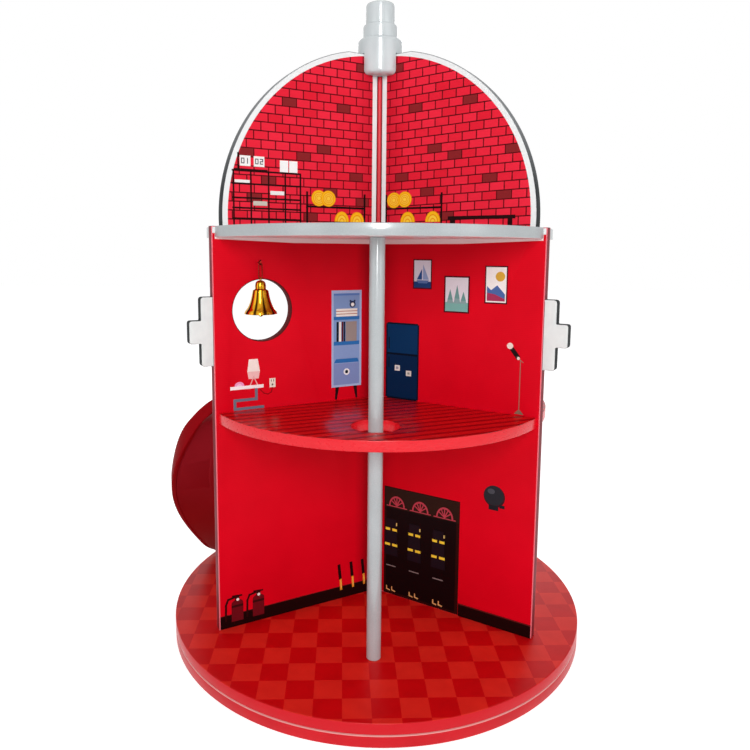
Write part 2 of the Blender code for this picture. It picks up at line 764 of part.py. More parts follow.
def build_nut(silver, pivot):
    """The hydrant's top nut, turned in one piece and slotted from below to straddle the walls."""
    bottom = DOME_TOP - NUT_SKIRT_DROP
    neck = bottom + NUT_SKIRT_HEIGHT
    cap = neck + NUT_NECK_HEIGHT
    profile = [(0, bottom)]
    profile += rounded_edge(NUT_SKIRT_RADIUS, bottom, 1, NUT_SKIRT_ROUND)
    profile += rounded_edge(NUT_SKIRT_RADIUS, neck, -1, NUT_SKIRT_ROUND)
    profile.append((NUT_NECK_RADIUS, neck))
    profile += rounded_edge(NUT_NECK_RADIUS, cap, -1, NUT_ROUND)
    profile.append((NUT_CAP_RADIUS, cap))
    profile += rounded_edge(NUT_CAP_RADIUS, cap + NUT_CAP_HEIGHT, -1, NUT_ROUND)
    profile.append((0, cap + NUT_CAP_HEIGHT))
    nut = make_object("hydrant_nut", turned(profile, NUT_SEGMENTS), silver, (0, 0, bottom), pivot)
    slots = star_outline(BOARD / 2 + NUT_SLOT_GAP, NUT_SKIRT_RADIUS + OVERRUN)
    cut(nut, "Wall slots", prism(slots, bottom - OVERRUN, DOME_TOP + FIT))


def slide_axis():
    return polar(SLIDE_AXIS_REACH, SLIDE_AXIS_ANGLE)


def slide_radius():
    """The chute's outer radius, which leaves a gap to the left wall's face where the chute starts."""
    to_face = SLIDE_AXIS_REACH * math.sin(LEFT - SLIDE_AXIS_ANGLE) - BOARD / 2
    square_on = LEFT + math.radians(90)
    return (to_face - SLIDE_WALL_GAP) / math.cos(square_on - SLIDE_START_ANGLE)


def slide_screw_place(end, side, level):
    """The middle of a lip's screw, on the lip's top face. Side is 1 for the upper lip."""
    turn = end + side * SLIDE_LIP_ANGLE / 2
    reach = slide_radius() - SLIDE_WIDTH + SLIDE_LIP_WIDTH / 2
    return Vector((*(slide_axis() + polar(reach, turn)), level + FIT + SLIDE_LIP_THICKNESS))


def slide_notch():
    """Cutter for the floor where the chute passes down through its edge."""
    floor_corner = (polar(FLOOR_RADIUS, LEFT) - slide_axis()).length
    inner, outer = slide_radius() - SLIDE_WIDTH - 2 * FIT, floor_corner + SLIDE_NOTCH_MARGIN
    end = SLIDE_AXIS_ANGLE
    outline = arc(slide_axis(), outer, SLIDE_START_ANGLE, end, SLIDE_NOTCH_STEPS)
    outline += arc(slide_axis(), inner, end, SLIDE_START_ANGLE, SLIDE_NOTCH_STEPS)
    return prism(outline, MIDDLE_BOTTOM - OVERRUN, MIDDLE_TOP + OVERRUN)


def eased(share):
    """A steady fall from 0 to 1 with a short rounding at both ends."""
    ease = SLIDE_EASE_SHARE
    rate = 1 / (1 - ease)
    if share < ease:
        return rate * share**2 / (2 * ease)
    if share > 1 - ease:
        return 1 - rate * (1 - share) ** 2 / (2 * ease)
    return rate * (share - ease / 2)


def chute_section(turn, height, width, rim, bed):
    """One upright section of the chute, square to its path, with rounded rims and soft corners."""
    thick = SLIDE_RIM_THICKNESS
    cap = min(thick, rim) / 2
    fillet = min(SLIDE_FILLET, rim / 2)
    low = fillet * SLIDE_CORNER_SHARE
    side = [
        (width - fillet, -bed),
        (width, fillet - bed),
        (width, rim - cap),
        (width - thick / 2, rim),
        (width - thick, rim - cap),
        (width - thick, fillet),
        (width - thick - low, low),
        (width - thick - fillet, 0),
    ]
    outline = side + [(width - across, lift) for across, lift in reversed(side)]
    inner = slide_radius() - SLIDE_WIDTH
    places = [(slide_axis() + polar(inner + across, turn), lift) for across, lift in outline]
    return [Vector((*spot, height + lift)) for spot, lift in places]


def build_slide(plastic, screw_steel, pivot):
    """A moulded chute that leaves the middle floor through its notch and turns down to the deck."""
    high = MIDDLE_TOP + FIT + SLIDE_LIP_THICKNESS
    low = DECK_TOP + FIT + SLIDE_LIP_THICKNESS
    bend = SLIDE_RIM_ANGLE * SLIDE_BEND_SHARE
    sections = [
        (SLIDE_START_ANGLE + SLIDE_LIP_ANGLE, high, SLIDE_LIP_WIDTH, SLIDE_LIP_BEAD, SLIDE_LIP_THICKNESS),
        (SLIDE_START_ANGLE + bend, high, SLIDE_LIP_WIDTH, SLIDE_LIP_BEAD, SLIDE_LIP_THICKNESS),
    ]
    for i in range(SLIDE_STEPS + 1):
        share = i / SLIDE_STEPS
        turn = SLIDE_START_ANGLE + (SLIDE_END_ANGLE - SLIDE_START_ANGLE) * share
        thicken = min(1, share / SLIDE_THICKEN_SHARE, (1 - share) / SLIDE_THICKEN_SHARE)
        bed = SLIDE_LIP_THICKNESS + (SLIDE_BED_THICKNESS - SLIDE_LIP_THICKNESS) * thicken
        rim = SLIDE_RIM_HEIGHT
        height = high + (low - high) * eased(share)
        sections.append((turn, height, SLIDE_WIDTH, rim, bed))
    sections += [
        (SLIDE_END_ANGLE - SLIDE_RIM_ANGLE, low, SLIDE_WIDTH, SLIDE_LIP_BEAD, SLIDE_LIP_THICKNESS),
        (SLIDE_END_ANGLE - SLIDE_LIP_ANGLE, low, SLIDE_WIDTH, SLIDE_LIP_BEAD, SLIDE_LIP_THICKNESS),
    ]
    mesh = lofted([chute_section(*section) for section in sections])
    slide = make_object("slide", mesh, plastic, (*slide_axis(), low), pivot)
    holes = []
    ends = ((SLIDE_START_ANGLE, 1, MIDDLE_TOP), (SLIDE_END_ANGLE, -1, DECK_TOP))
    for count, (end, side, level) in enumerate(ends, 1):
        spot = slide_screw_place(end, side, level)
        holes.append(place(flipped(screw_hole(*SLIDE_SCREW)), 0, spot))
        screw = place(flipped(screw_mesh(*SLIDE_SCREW)), 0, spot - Vector((0, 0, FIT)))
        make_object(f"slide_screw_{count}", screw, screw_steel, spot, pivot)
    cut(slide, "Screw holes", merge(*holes))


def build_wall_screws(screw_steel, pivot):
    count = 0
    for angle in (LEFT, RIGHT, BACK):
        for spot in wall_screw_places(angle):
            count += 1
            screw = place(screw_mesh(*WALL_SCREW), 0, spot)
            make_object(f"wall_screw_{count}", screw, screw_steel, spot, pivot)
    spot = Vector((0, 0, DECK_BOTTOM + SCREW_RECESS))
    make_object("post_screw", place(screw_mesh(*WALL_SCREW), 0, spot), screw_steel, spot, pivot)


def ring_path(radius, height, steps=WIRE_STEPS):
    turns = [math.tau * i / steps for i in range(steps)]
    return [Vector((radius * math.cos(t), 0, height + radius * math.sin(t))) for t in turns]


def arch_path(radius, foot, rise, side):
    """An arch with straight legs from foot height, up (side 1) or down (side -1) by rise."""
    turns = [math.pi * i / (WIRE_STEPS // 2) for i in range(WIRE_STEPS // 2 + 1)]
    centre = foot + side * (rise - radius)
    bow = [Vector((radius * math.cos(t), 0, centre + side * radius * math.sin(t))) for t in turns]
    return [Vector((radius, 0, foot)), *bow, Vector((-radius, 0, foot))]


def link_path(half_width, top, length):
    """A long ring with round ends, hanging down from its top."""
    steps = WIRE_STEPS // 2
    turns = [math.pi * i / steps for i in range(steps + 1)]
    high, low = top - half_width, top - length + half_width
    upper = [Vector((half_width * math.cos(t), 0, high + half_width * math.sin(t))) for t in turns]
    lower = [Vector((-half_width * math.cos(t), 0, low - half_width * math.sin(t))) for t in turns]
    return upper + lower


def front_turn():
    """Turns X onto the front normal of the bell's wall."""
    return BELL_ANGLE + math.radians(90)


def bell_place(height):
    """A point on the bell's hanging line, this far above the deck."""
    return on_wall(BELL_ANGLE, BELL_REACH, height, BELL_STANDOFF)


def link_top():
    """Height of the link's upper wire, which lies on the lower wire of the eye."""
    return EYE_HEIGHT - EYE_RADIUS + EYE_WIRE / 2 + LINK_WIRE / 2 + FIT


def loop_top():
    """Height of the upper wire of the bell's loop, which hangs on the link's lower wire."""
    return link_top() - LINK_LENGTH + LINK_WIRE + FIT


def crown_top():
    return loop_top() - LOOP_RISE


def staple_ring_top():
    """Depth below the crown's top at which the clapper's ring lies on the staple."""
    ceiling = BELL_CROWN_HEIGHT + BELL_WALL
    return ceiling + STAPLE_DROP - STAPLE_WIRE - FIT


def build_eye(brass, wall, pivot):
    """A screw eye: a wire ring on a shank that is driven into the wall."""
    spot = bell_place(EYE_HEIGHT)
    ring = place(wire(ring_path(EYE_RADIUS, 0), EYE_WIRE, True), front_turn(), spot)
    eye = make_object("bell_screw_eye", ring, brass, spot, pivot)
    start = EYE_RADIUS - EYE_WIRE * EYE_SHANK_OVERLAP_SHARE
    end = BELL_STANDOFF - BOARD / 2 + EYE_SHANK_DEPTH
    shank = rod(EYE_WIRE, -end, -start, segments=WIRE_SIDES)
    shank.transform(Matrix.Rotation(math.radians(90), 4, "Y"))
    join(eye, "Shank", place(shank, front_turn(), spot))
    mouth = BOARD / 2 - BELL_STANDOFF + OVERRUN
    hole = rod(EYE_WIRE + 2 * FIT, -end - FIT, mouth, segments=WIRE_SIDES)
    hole.transform(Matrix.Rotation(math.radians(90), 4, "Y"))
    cut(wall, "Eye hole", place(hole, front_turn(), spot))


def build_link(brass, pivot):
    path = link_path(LINK_HALF_WIDTH, 0, LINK_LENGTH)
    mesh = place(wire(path, LINK_WIRE, True), BELL_ANGLE, bell_place(link_top()))
    make_object("bell_link", mesh, brass, bell_place(link_top()), pivot)


def bell_outside():
    """The bell's outer curve as (radius, depth below the crown's top), down to the rim."""
    crown, flare = BELL_CROWN_RADIUS, BELL_RIM_RADIUS - BELL_SHOULDER_RADIUS
    points = [(crown * across, BELL_CROWN_HEIGHT * down) for across, down in BELL_CROWN_SHARES]
    skirt = BELL_HEIGHT - BELL_CROWN_HEIGHT
    for across, down in BELL_SKIRT_SHARES:
        points.append((BELL_SHOULDER_RADIUS + flare * across, BELL_CROWN_HEIGHT + skirt * down))
    return points


def bell_profile():
    """The closed section of the bell, with a thin even wall under its solid crown."""
    outside = bell_outside()
    skirt = [(radius, depth) for radius, depth in outside if depth > BELL_CROWN_HEIGHT + BELL_WALL]
    inside = [(radius - BELL_WALL, depth) for radius, depth in reversed(skirt)]
    inside.append((skirt[0][0] - 2 * BELL_WALL, BELL_CROWN_HEIGHT + BELL_WALL))
    inside.append((0, BELL_CROWN_HEIGHT + BELL_WALL))
    return [(0, 0)] + [(radius, -depth) for radius, depth in outside + inside]


def build_bell(gold, pivot):
    """The bell, with the loop it hangs by and the staple that holds its clapper."""
    top = bell_place(crown_top())
    shell = place(turned(bell_profile(), BELL_SEGMENTS), 0, top)
    bell = make_object("bell_shell", shell, gold, bell_place(loop_top()), pivot)
    sunk = LINK_WIRE
    loop = wire(arch_path(LOOP_RADIUS, -sunk, LOOP_RISE + sunk, 1), LINK_WIRE)
    join(bell, "Loop", place(loop, front_turn(), top))
    ceiling = BELL_CROWN_HEIGHT + BELL_WALL
    foot, drop = -ceiling + STAPLE_WIRE, STAPLE_DROP + STAPLE_WIRE
    staple = wire(arch_path(STAPLE_RADIUS, foot, drop, -1), STAPLE_WIRE)
    join(bell, "Staple", place(staple, front_turn(), top))


def build_clapper(steel, pivot):
    """A rod with a ball, on a ring that hangs in the bell's staple."""
    top = bell_place(crown_top())
    start = staple_ring_top()
    ring = wire(ring_path(STAPLE_RADIUS, -start - STAPLE_RADIUS), STAPLE_WIRE, True)
    origin = top - Vector((0, 0, start))
    ring = place(ring, BELL_ANGLE, top)
    clapper = make_object("bell_clapper", ring, steel, origin, pivot)
    ball = CLAPPER_BALL / 2
    middle = -BELL_HEIGHT - CLAPPER_BELOW_RIM
    rod_top = -start - 2 * STAPLE_RADIUS
    rod_radius = CLAPPER_ROD / 2
    waist = math.asin(rod_radius / ball)
    start_turn, end_turn = math.radians(-90), math.radians(90) - waist
    bow = arc(Vector((0, middle)), ball, start_turn, end_turn, CLAPPER_STEPS)
    profile = [(0, middle - ball)] + [tuple(point) for point in bow[1:]]
    profile += [(rod_radius, rod_top), (0, rod_top)]
    join(clapper, "Rod and ball", place(turned(profile, CLAPPER_SEGMENTS), 0, top))


def main():
    clear_scene()
    bpy.context.scene.unit_settings.scale_length = 1
    foot_wood = make_material("Foot board paint", "A81420", 0.45)
    deck_wood = make_material("Deck board paint", "C8101C", 0.4)
    red_wood = make_material("Wall board print", "E8203C", 0.45)
    post_wood = make_material("Post paint", "E04858", 0.5)
    planks = make_material("Middle floor print", "D83020", 0.5)
    silver = make_material("Silver paint", "B4B4B8", 0.45, 0.3)
    pole_silver = make_material("Pole paint", "C8C8CC", 0.3, 0.6)
    steel = make_material("Zinc steel", "B8BCC0", 0.35, 1.0)
    brass = make_material("Brass", "D8A840", 0.3, 1.0)
    plastic = make_material("Slide plastic", "C00818", 0.25)
    dowel_wood = make_material("Beech dowel", "D8B888", 0.6)

    deck_pivot = make_pivot("deck_axis", (0, 0, DECK_BOTTOM))
    cage_pivot = make_pivot("cage_axis", (0, 0, BOARD))
    build_foot(foot_wood)
    build_deck(deck_wood, deck_pivot)
    build_races(steel, steel, deck_pivot)
    build_ball_cage(steel, cage_pivot)
    build_post(post_wood, deck_pivot)
    walls = {}
    for side, angle in (("left", LEFT), ("right", RIGHT), ("back", BACK)):
        walls[side] = build_wall(f"{side}_wall", angle, red_wood, deck_pivot)
        build_outlet(f"{side}_outlet", angle, silver, dowel_wood, deck_pivot)
    cut_porthole(walls["left"])
    build_floors(planks, silver, deck_pivot)
    build_pole(pole_silver, deck_pivot)
    build_nut(silver, deck_pivot)
    build_slide(plastic, steel, deck_pivot)
    build_wall_screws(steel, deck_pivot)
    build_eye(brass, walls["left"], deck_pivot)
    link_pivot = make_pivot("link_axis", bell_place(link_top()), deck_pivot)
    bell_pivot = make_pivot("bell_axis", bell_place(loop_top()), link_pivot)
    clapper_top = bell_place(crown_top() - staple_ring_top())
    clapper_pivot = make_pivot("clapper_axis", clapper_top, bell_pivot)
    build_link(brass, link_pivot)
    build_bell(brass, bell_pivot)
    build_clapper(steel, clapper_pivot)


main()
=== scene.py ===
"""Looks of the toy fire station: painted boards, printed films, a moulded slide and a brass bell.

Lengths are in millimetres in the part's own frame: the origin is the middle of the foot's underside,
+Z is up and the front sector opens towards -Y. Heights on a wall are counted from the deck's top.
Meshes are turned into metres when they are made.
"""
import math

import bpy
import numpy as np
from mathutils import Matrix, Vector
from mathutils.geometry import tessellate_polygon


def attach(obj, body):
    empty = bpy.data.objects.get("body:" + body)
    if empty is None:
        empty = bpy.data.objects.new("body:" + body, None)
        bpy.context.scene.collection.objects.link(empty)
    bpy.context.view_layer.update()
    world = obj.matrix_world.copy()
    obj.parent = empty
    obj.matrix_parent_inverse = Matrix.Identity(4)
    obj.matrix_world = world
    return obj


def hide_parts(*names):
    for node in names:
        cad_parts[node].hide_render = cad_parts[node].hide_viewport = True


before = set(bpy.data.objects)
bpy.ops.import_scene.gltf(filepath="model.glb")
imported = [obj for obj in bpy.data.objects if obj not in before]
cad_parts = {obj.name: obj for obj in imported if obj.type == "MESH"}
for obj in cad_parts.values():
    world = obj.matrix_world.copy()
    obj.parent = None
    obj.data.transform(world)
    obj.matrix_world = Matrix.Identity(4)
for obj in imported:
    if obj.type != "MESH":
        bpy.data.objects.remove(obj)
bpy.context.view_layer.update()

MM = 0.001

# Boards
BOARD = 9.5
SOFT_EDGE = 0.8
EDGE_STEPS = 3
GAP = 0.05
PLATE_RADIUS = 200.0
DECK_BOTTOM = 10.5
DECK_TOP = 20.0
WALL_REACH = 166.0
FLOOR_RADIUS = 163.0
MIDDLE_BOTTOM = 194.5
MIDDLE_TOP = 204.0
UPPER_BOTTOM = 357.5
SHOULDER = 367.0
DOME_RADIUS = 157.0
DOME_CENTRE = 374.5
DOME_TOP = 527.5
PORTHOLE = (121.0, 293.5, 27.5)
WALLS = {"left": math.radians(210), "right": math.radians(330), "back": math.radians(90)}
SECTORS = {"front": math.radians(210), "right": math.radians(330), "left": math.radians(90)}
SECTOR = math.radians(120)
# The side of a wall's board that faces the front room, in the sense that stand() gives it
FRONT_SIDES = {"left": -1, "right": 1}

# Post, pole and bell
POST_RADIUS = 7.0
POLE_REACH = 120.0
POLE_RADIUS = 6.25
POLE_HOLE_RADIUS = 20.2
BELL_SPOT = np.array([-102.753, -72.026])
BELL_TOP = 340.6

# Slide
SLIDE_RADIUS = 85.81
SLIDE_WIDTH = 40.0
SLIDE_AXIS_REACH = 126.1
SLIDE_AXIS_ANGLE = math.radians(173.7)
SLIDE_START = math.radians(263.3)
SLIDE_END = math.radians(127.3)
SLIDE_LIP = math.radians(8.5)

# Prints: bricks in running bond inside a quarter disc, checks on the deck and planks on the floors
FILM_TOP = 361.0
BRICK_LENGTH = 13.33
BRICK_HEIGHT = 7.62
BRICK_START = 7.4
COURSE_START = 411.3
PRINT_START = 10.3
PRINT_RADIUS = 151.5
PRINT_CENTRE = 375.0
BRICK_TILT = {"left": 0.0, "right": 0.03, "back": 0.0}
# How strongly each wall's film is painted darker towards the post, as painted corner shade
CORNER_SHADE = {"left": 0.65, "right": 0.3, "back": 0.5}
CHECK = 22.4
CHECK_TURN = math.radians(3.51)
CHECK_CORNER = (-12.0, 7.3, 0)
PLANK = 11.0
PLANK_TURN = math.radians(24)
TURNING_MARKS = (0.2, 0.2, 4.0)

# Light
WORLD_LIGHT = 0.46
FLOOR_GLOW = 0.66
LAMPS = (
    # name, place, aim, width, height, power in watts
    ("front softbox", (0.04, -1.75, 0.95), (0, 0, 0.30), 0.16, 0.90, 16.5),
    ("left fill", (-1.5, -1.2, 0.8), (0, 0, 0.28), 1.0, 1.2, 1.6),
    ("right fill", (1.5, -1.2, 0.8), (0, 0, 0.28), 1.0, 1.2, 3.0),
    ("back softbox", (0.1, 1.75, 0.95), (0, 0, 0.30), 0.8, 0.8, 9.0),
)


# Nodes


def linear(code):
    """An sRGB hex value as linear red, green, blue and an alpha of one."""
    channels = np.array([int(code[i : i + 2], 16) for i in (1, 3, 5)]) / 255
    values = np.where(channels <= 0.04045, channels / 12.92, ((channels + 0.055) / 1.055) ** 2.4)
    return (*values.tolist(), 1.0)


def add(tree, kind, inputs=(), output=0, **settings):
    """Adds a node, sets its properties, and links or sets its inputs. Gives one output as a Value."""
    made = tree.nodes.new(kind)
    for name, value in settings.items():
        setattr(made, name, value)
    for key, value in dict(inputs).items():
        if isinstance(value, Value):
            tree.links.new(value.socket, made.inputs[key])
        else:
            made.inputs[key].default_value = linear(value) if isinstance(value, str) else value
    return Value(tree, made.outputs[output])


class Value:
    """A node's output: a number, a place or a colour. A sum written with it becomes a node."""

    def __init__(self, tree, socket):
        self.tree, self.socket = tree, socket

    def node(self, kind, *others, **settings):
        """A node whose first inputs are this value and the others."""
        return add(self.tree, kind, dict(enumerate((self, *others))), **settings)

    def math(self, operation, *others):
        return self.node("ShaderNodeMath", *others, operation=operation)

    def __add__(self, other):
        return self.math("ADD", other)

    def __sub__(self, other):
        return self.math("SUBTRACT", other)

    def __mul__(self, other):
        return self.math("MULTIPLY", other)

    def __truediv__(self, other):
        return self.math("DIVIDE", other)

    def parts(self):
        """The three coordinates of a place."""
        split = self.node("ShaderNodeSeparateXYZ").socket.node
        return [Value(self.tree, output) for output in split.outputs]

    def reach(self, other):
        """The length of the flat arrow whose coordinates are this value and the other."""
        arrow = self.node("ShaderNodeCombineXYZ", other)
        return arrow.node("ShaderNodeVectorMath", output="Value", operation="LENGTH")

    def ramp(self, low, high, how="LINEAR"):
        """The value brought from low..high to 0..1 and held there."""
        inputs = {"Value": self, "From Min": low, "From Max": high}
        return add(self.tree, "ShaderNodeMapRange", inputs, interpolation_type=how)

    def spread(self, low, high):
        """The value brought from 0..1 to low..high."""
        return add(self.tree, "ShaderNodeMapRange", {"Value": self, "To Min": low, "To Max": high})

    def mix(self, first, second):
        """The first colour where the value is 0 and the second where it is 1."""
        return add(self.tree, "ShaderNodeMix", {0: self, 6: first, 7: second}, 2, data_type="RGBA")

    def grain(self, size, detail=3.0, stretch=(1, 1, 1)):
        """Noise at a place, with blotches about this many millimetres across."""
        scaled = self.node("ShaderNodeVectorMath", stretch, operation="MULTIPLY")
        return add(self.tree, "ShaderNodeTexNoise", {"Vector": scaled, "Scale": 1 / size, "Detail": detail})

    def bump(self, strength, distance):
        """A normal from the value as a height, which is this many millimetres at 1."""
        inputs = {"Height": self, "Strength": strength, "Distance": distance * MM}
        return add(self.tree, "ShaderNodeBump", inputs)


class Finish:
    """A new material: its node tree and its Principled shader, with the plain values set on it."""

    def __init__(self, name, **sockets):
        self.material = bpy.data.materials.new(name)
        self.material.use_nodes = True
        self.tree = self.material.node_tree
        self.shader = self.tree.nodes["Principled BSDF"]
        for key, value in sockets.items():
            self.shader.inputs[key.replace("_", " ")].default_value = value

    def point(self, turn=0.0, start=(0, 0, 0)):
        """Object coordinates in millimetres, turned back about Z and then counted from a start."""
        place = add(self.tree, "ShaderNodeTexCoord", output="Object")
        inputs = {"Vector": place, "Rotation": (0, 0, -turn), "Scale": (1 / MM, 1 / MM, 1 / MM)}
        turned = add(self.tree, "ShaderNodeMapping", inputs)
        return turned.node("ShaderNodeVectorMath", [-s for s in start], operation="ADD")

    def done(self, colour, roughness=None, normal=None):
        """Links what is given to the shader. Gives the material."""
        for name, value in (("Base Color", colour), ("Roughness", roughness), ("Normal", normal)):
            if value is not None:
                self.tree.links.new(value.socket, self.shader.inputs[name])
        return self.material


# Materials


def lacquer(name, colour, deep, highlight_from=None):
    """Sprayed lacquer on wood: even colour with a faint orange peel and slightly uneven gloss.

    From a height on it is painted pale as a highlight, which leaves a thin line along a board's top edge.
    """
    finish = Finish(name, Specular_IOR_Level=0.2)
    point = finish.point()
    cloud = point.grain(45, 2)
    paint = cloud.ramp(0.35, 0.7).mix(colour, deep)
    if highlight_from is not None:
        # Painted highlight: pale from this height up, as light caught on the top edge
        paint = point.parts()[2].ramp(highlight_from, highlight_from + 0.2).mix(paint, "#F6BCB8")
    return finish.done(paint, cloud.spread(0.28, 0.38), point.grain(1.6, 1).bump(0.05, 0.05))


def silver_paint(name, colour, deep, pale_below=0.0):
    """Silver lacquer: grey pigment with fine metal flakes, so it is soft and a little metallic.

    Below a height it is painted nearly white, as painted light on the shaded underside.
    """
    finish = Finish(name, Metallic=0.12, Specular_IOR_Level=0.4)
    point = finish.point()
    flakes = add(finish.tree, "ShaderNodeTexVoronoi", {"Vector": point, "Scale": 1 / 0.7}, "Distance")
    cloud = point.grain(30, 2)
    paint = cloud.ramp(0.35, 0.7).mix(colour, deep)
    paint = (flakes.ramp(0.1, 0.75) * 0.25).mix(paint, "#D2D6D8")
    # Painted light: below this height the underside is made nearly white
    pale_underside = point.parts()[2].ramp(pale_below + 0.3, pale_below + 0.1)
    peel = point.grain(1.4, 1).bump(0.03, 0.05)
    return finish.done(pale_underside.mix(paint, "#FAFAFA"), cloud.spread(0.17, 0.23), peel)


def outlet_material(key, angle):
    """Pale silver lacquer on an outlet's faces; round its sawn edge it is grey and duller, painted nearly
    black as shade.
    """
    finish = Finish(f"Pale silver lacquer on {key} outlet", Specular_IOR_Level=0.3)
    point = finish.point(angle)
    cloud = point.grain(12)
    face = cloud.ramp(0.35, 0.7).mix("#E9EBE9", "#DFE2E1")
    # Painted shade: the grey edge paint is made nearly black
    shaded_edge = cloud.ramp(0.3, 0.6).mix("#26292B", "#1E2123")
    face_share = point.parts()[1].math("ABSOLUTE").ramp(BOARD / 2 - 0.5, BOARD / 2 - 0.1)
    roughness = face_share * -0.4 + cloud.spread(0.74, 0.86)
    return finish.done(face_share.mix(shaded_edge, face), roughness, point.grain(1.4, 1).bump(0.05, 0.05))


def wall_material(key, angle):
    """A wall board: red printed film up to the shoulder, silver lacquer round a brick print above it.

    Along the wall, r is the distance from the axis. The red film stops about 4 mm short of the upper
    floors and leaves a pale band there, narrower towards their rim; the band's pink tint is a painted
    reflection of the red walls. Towards the post both prints are painted darker as corner shade. The
    courses of bricks climb by the wall's tilt, in millimetres for each millimetre of r, and each is
    shifted by half a brick.
    """
    finish = Finish(f"Printed film on {key} wall board", Specular_IOR_Level=0.07)
    point = finish.point(angle, (0, 0, DECK_TOP))
    r, _, z = point.parts()
    # The red film, deeper in broad clouds, with the fine lines of its backing, 1.6 mm apart
    lines = (z * (math.tau / 1.6)).math("SINE") * 0.5 + 0.5
    red = point.grain(60, 2).ramp(0.3, 0.7).mix("#DC011C", "#D00018")
    film = (lines * 0.1).mix(red, "#F41028")
    # Painted shade: the film darkens towards the post, as shade in the corner
    film = (r.ramp(27, 9) * CORNER_SHADE[key]).mix(film, "#560008")
    # Where the film stops below the upper floors the board is pale; its pink tint is a painted reflection of
    # the red walls
    film_end = r.ramp(90, FLOOR_RADIUS) * 2.6 + (UPPER_BOTTOM - 4.1)
    bare = (z - film_end).ramp(-0.2, 0.2) * r.ramp(FLOOR_RADIUS + 0.3, FLOOR_RADIUS - 0.1)
    film = bare.mix(film, "#F6DCDC")
    # The bricks, each of its own tint, darker in their joints
    tilt = BRICK_TILT[key]
    rise = (z - r * tilt - (COURSE_START - 20 * tilt)) / BRICK_HEIGHT
    course = rise.math("FLOOR")
    along = course.math("FLOORED_MODULO", 2.0) * 0.5 + (r - BRICK_START) / BRICK_LENGTH
    across_joint = along.math("PINGPONG", 0.5) * BRICK_LENGTH
    joint = across_joint.math("MINIMUM", rise.math("PINGPONG", 0.5) * BRICK_HEIGHT)
    number = along.math("FLOOR").node("ShaderNodeCombineXYZ", course)
    tint = add(finish.tree, "ShaderNodeTexWhiteNoise", {"Vector": number}, "Value")
    bricks = joint.ramp(0.62, 0.36).mix(tint.mix("#DE1A30", "#EC263E"), "#4A0208")
    # Painted shade: the bricks darken towards the post, as shade in the corner
    bricks = (r.ramp(30, 10) * 0.4).mix(bricks, "#8E0418")
    # The print's outline and the silver margin round it
    inside = r.reach(z - PRINT_CENTRE).ramp(PRINT_RADIUS + 0.2, PRINT_RADIUS - 0.2)
    inside = inside * r.ramp(PRINT_START - 0.2, PRINT_START + 0.2)
    face = z.ramp(FILM_TOP - 0.2, FILM_TOP + 0.2).mix(film, inside.mix("#ECEEEE", bricks))
    return finish.done(face, point.grain(25, 2).spread(0.4, 0.5), lines.bump(0.03, 0.05))


def wall_edge_material(key, angle):
    """A wall's sawn edges up to the shoulder: red lacquer painted maroon as shade, and pink at the corners as
    a painted highlight.

    Above it they are grey, painted darker low down and paler on top, as shade and light from above. Inside
    the porthole they are duller and painted darker, as shade in the hole.
    """
    finish = Finish(f"Lacquer on {key} wall's edges", Specular_IOR_Level=0.22)
    point = finish.point(angle, (0, 0, DECK_TOP))
    _, side, z = point.parts()
    cloud = point.grain(25, 2)
    # Painted shade: the lacquer's red is given as dark maroon
    red = cloud.ramp(0.3, 0.7).mix("#7E1622", "#72121C")
    # Painted highlight: pale pink near both faces, where the rounded arrises catch light
    red = side.math("ABSOLUTE").ramp(BOARD / 2 - 1.6, BOARD / 2 - 0.2).mix(red, "#F07884")
    hole_r, hole_z, hole_radius = PORTHOLE
    away = point.node("ShaderNodeVectorMath", (hole_r, 0, hole_z), output="Value", operation="DISTANCE")
    # Painted shade inside the porthole
    in_porthole = away.ramp(hole_radius + 3.5, hole_radius + 2.0)
    above = z.ramp(SHOULDER - 0.4, SHOULDER)
    # Painted light and shade: the grey edge is dark low down and pale on top
    grey = z.ramp(400.0, 500.0).mix("#303436", "#9A9C9E")
    colour = above.mix(in_porthole.mix(red, "#5E080C"), grey)
    roughness = in_porthole.math("MAXIMUM", above) * 0.22 + cloud.spread(0.5, 0.6)
    return finish.done(colour, roughness, point.grain(1.6, 1).bump(0.05, 0.05))


def deck_material():
    """The deck: a checkered printed film on top and red lacquer on its edge."""
    finish = Finish("Checkered film on deck board", Specular_IOR_Level=0.16)
    point = finish.point()
    x, y, _ = finish.point(CHECK_TURN, CHECK_CORNER).parts()
    odd = ((x / CHECK).math("FLOOR") + (y / CHECK).math("FLOOR")).math("FLOORED_MODULO", 2.0)
    cloud = point.grain(18)
    light = cloud.ramp(0.3, 0.7).mix("#DC281E", "#D2221A")
    dark = cloud.ramp(0.3, 0.7).mix("#C8080E", "#BE060C")
    top = point.parts()[2].ramp(DECK_TOP - SOFT_EDGE * 0.7, DECK_TOP - SOFT_EDGE * 0.4)
    colour = top.mix("#D81C28", odd.mix(light, dark))
    return finish.done(colour, cloud.spread(0.26, 0.36), point.grain(2.2, 2).bump(0.04, 0.05))


def plank_material():
    """The middle floors: a printed film of narrow planks with dark joints, and bright red edges."""
    finish = Finish("Planked film on floor board", Specular_IOR_Level=0.4)
    point = finish.point(PLANK_TURN)
    _, across, height = point.parts()
    phase = (across / PLANK).math("FRACT")
    dark_line = (phase - 0.5).math("ABSOLUTE").ramp(0.24, 0.14)
    fibre = point.grain(3.0, 3, (0.12, 1.0, 1.0))
    planks = dark_line.mix(fibre.ramp(0.3, 0.7).mix("#D01012", "#BC0A0E"), "#8A0006")
    top = height.ramp(MIDDLE_TOP + DECK_TOP - 0.55, MIDDLE_TOP + DECK_TOP - 0.3)
    relief = (dark_line.spread(1.0, 0.0) * top).bump(0.2, 0.15)
    return finish.done(top.mix("#EA1626", planks), fibre.spread(0.24, 0.32), relief)


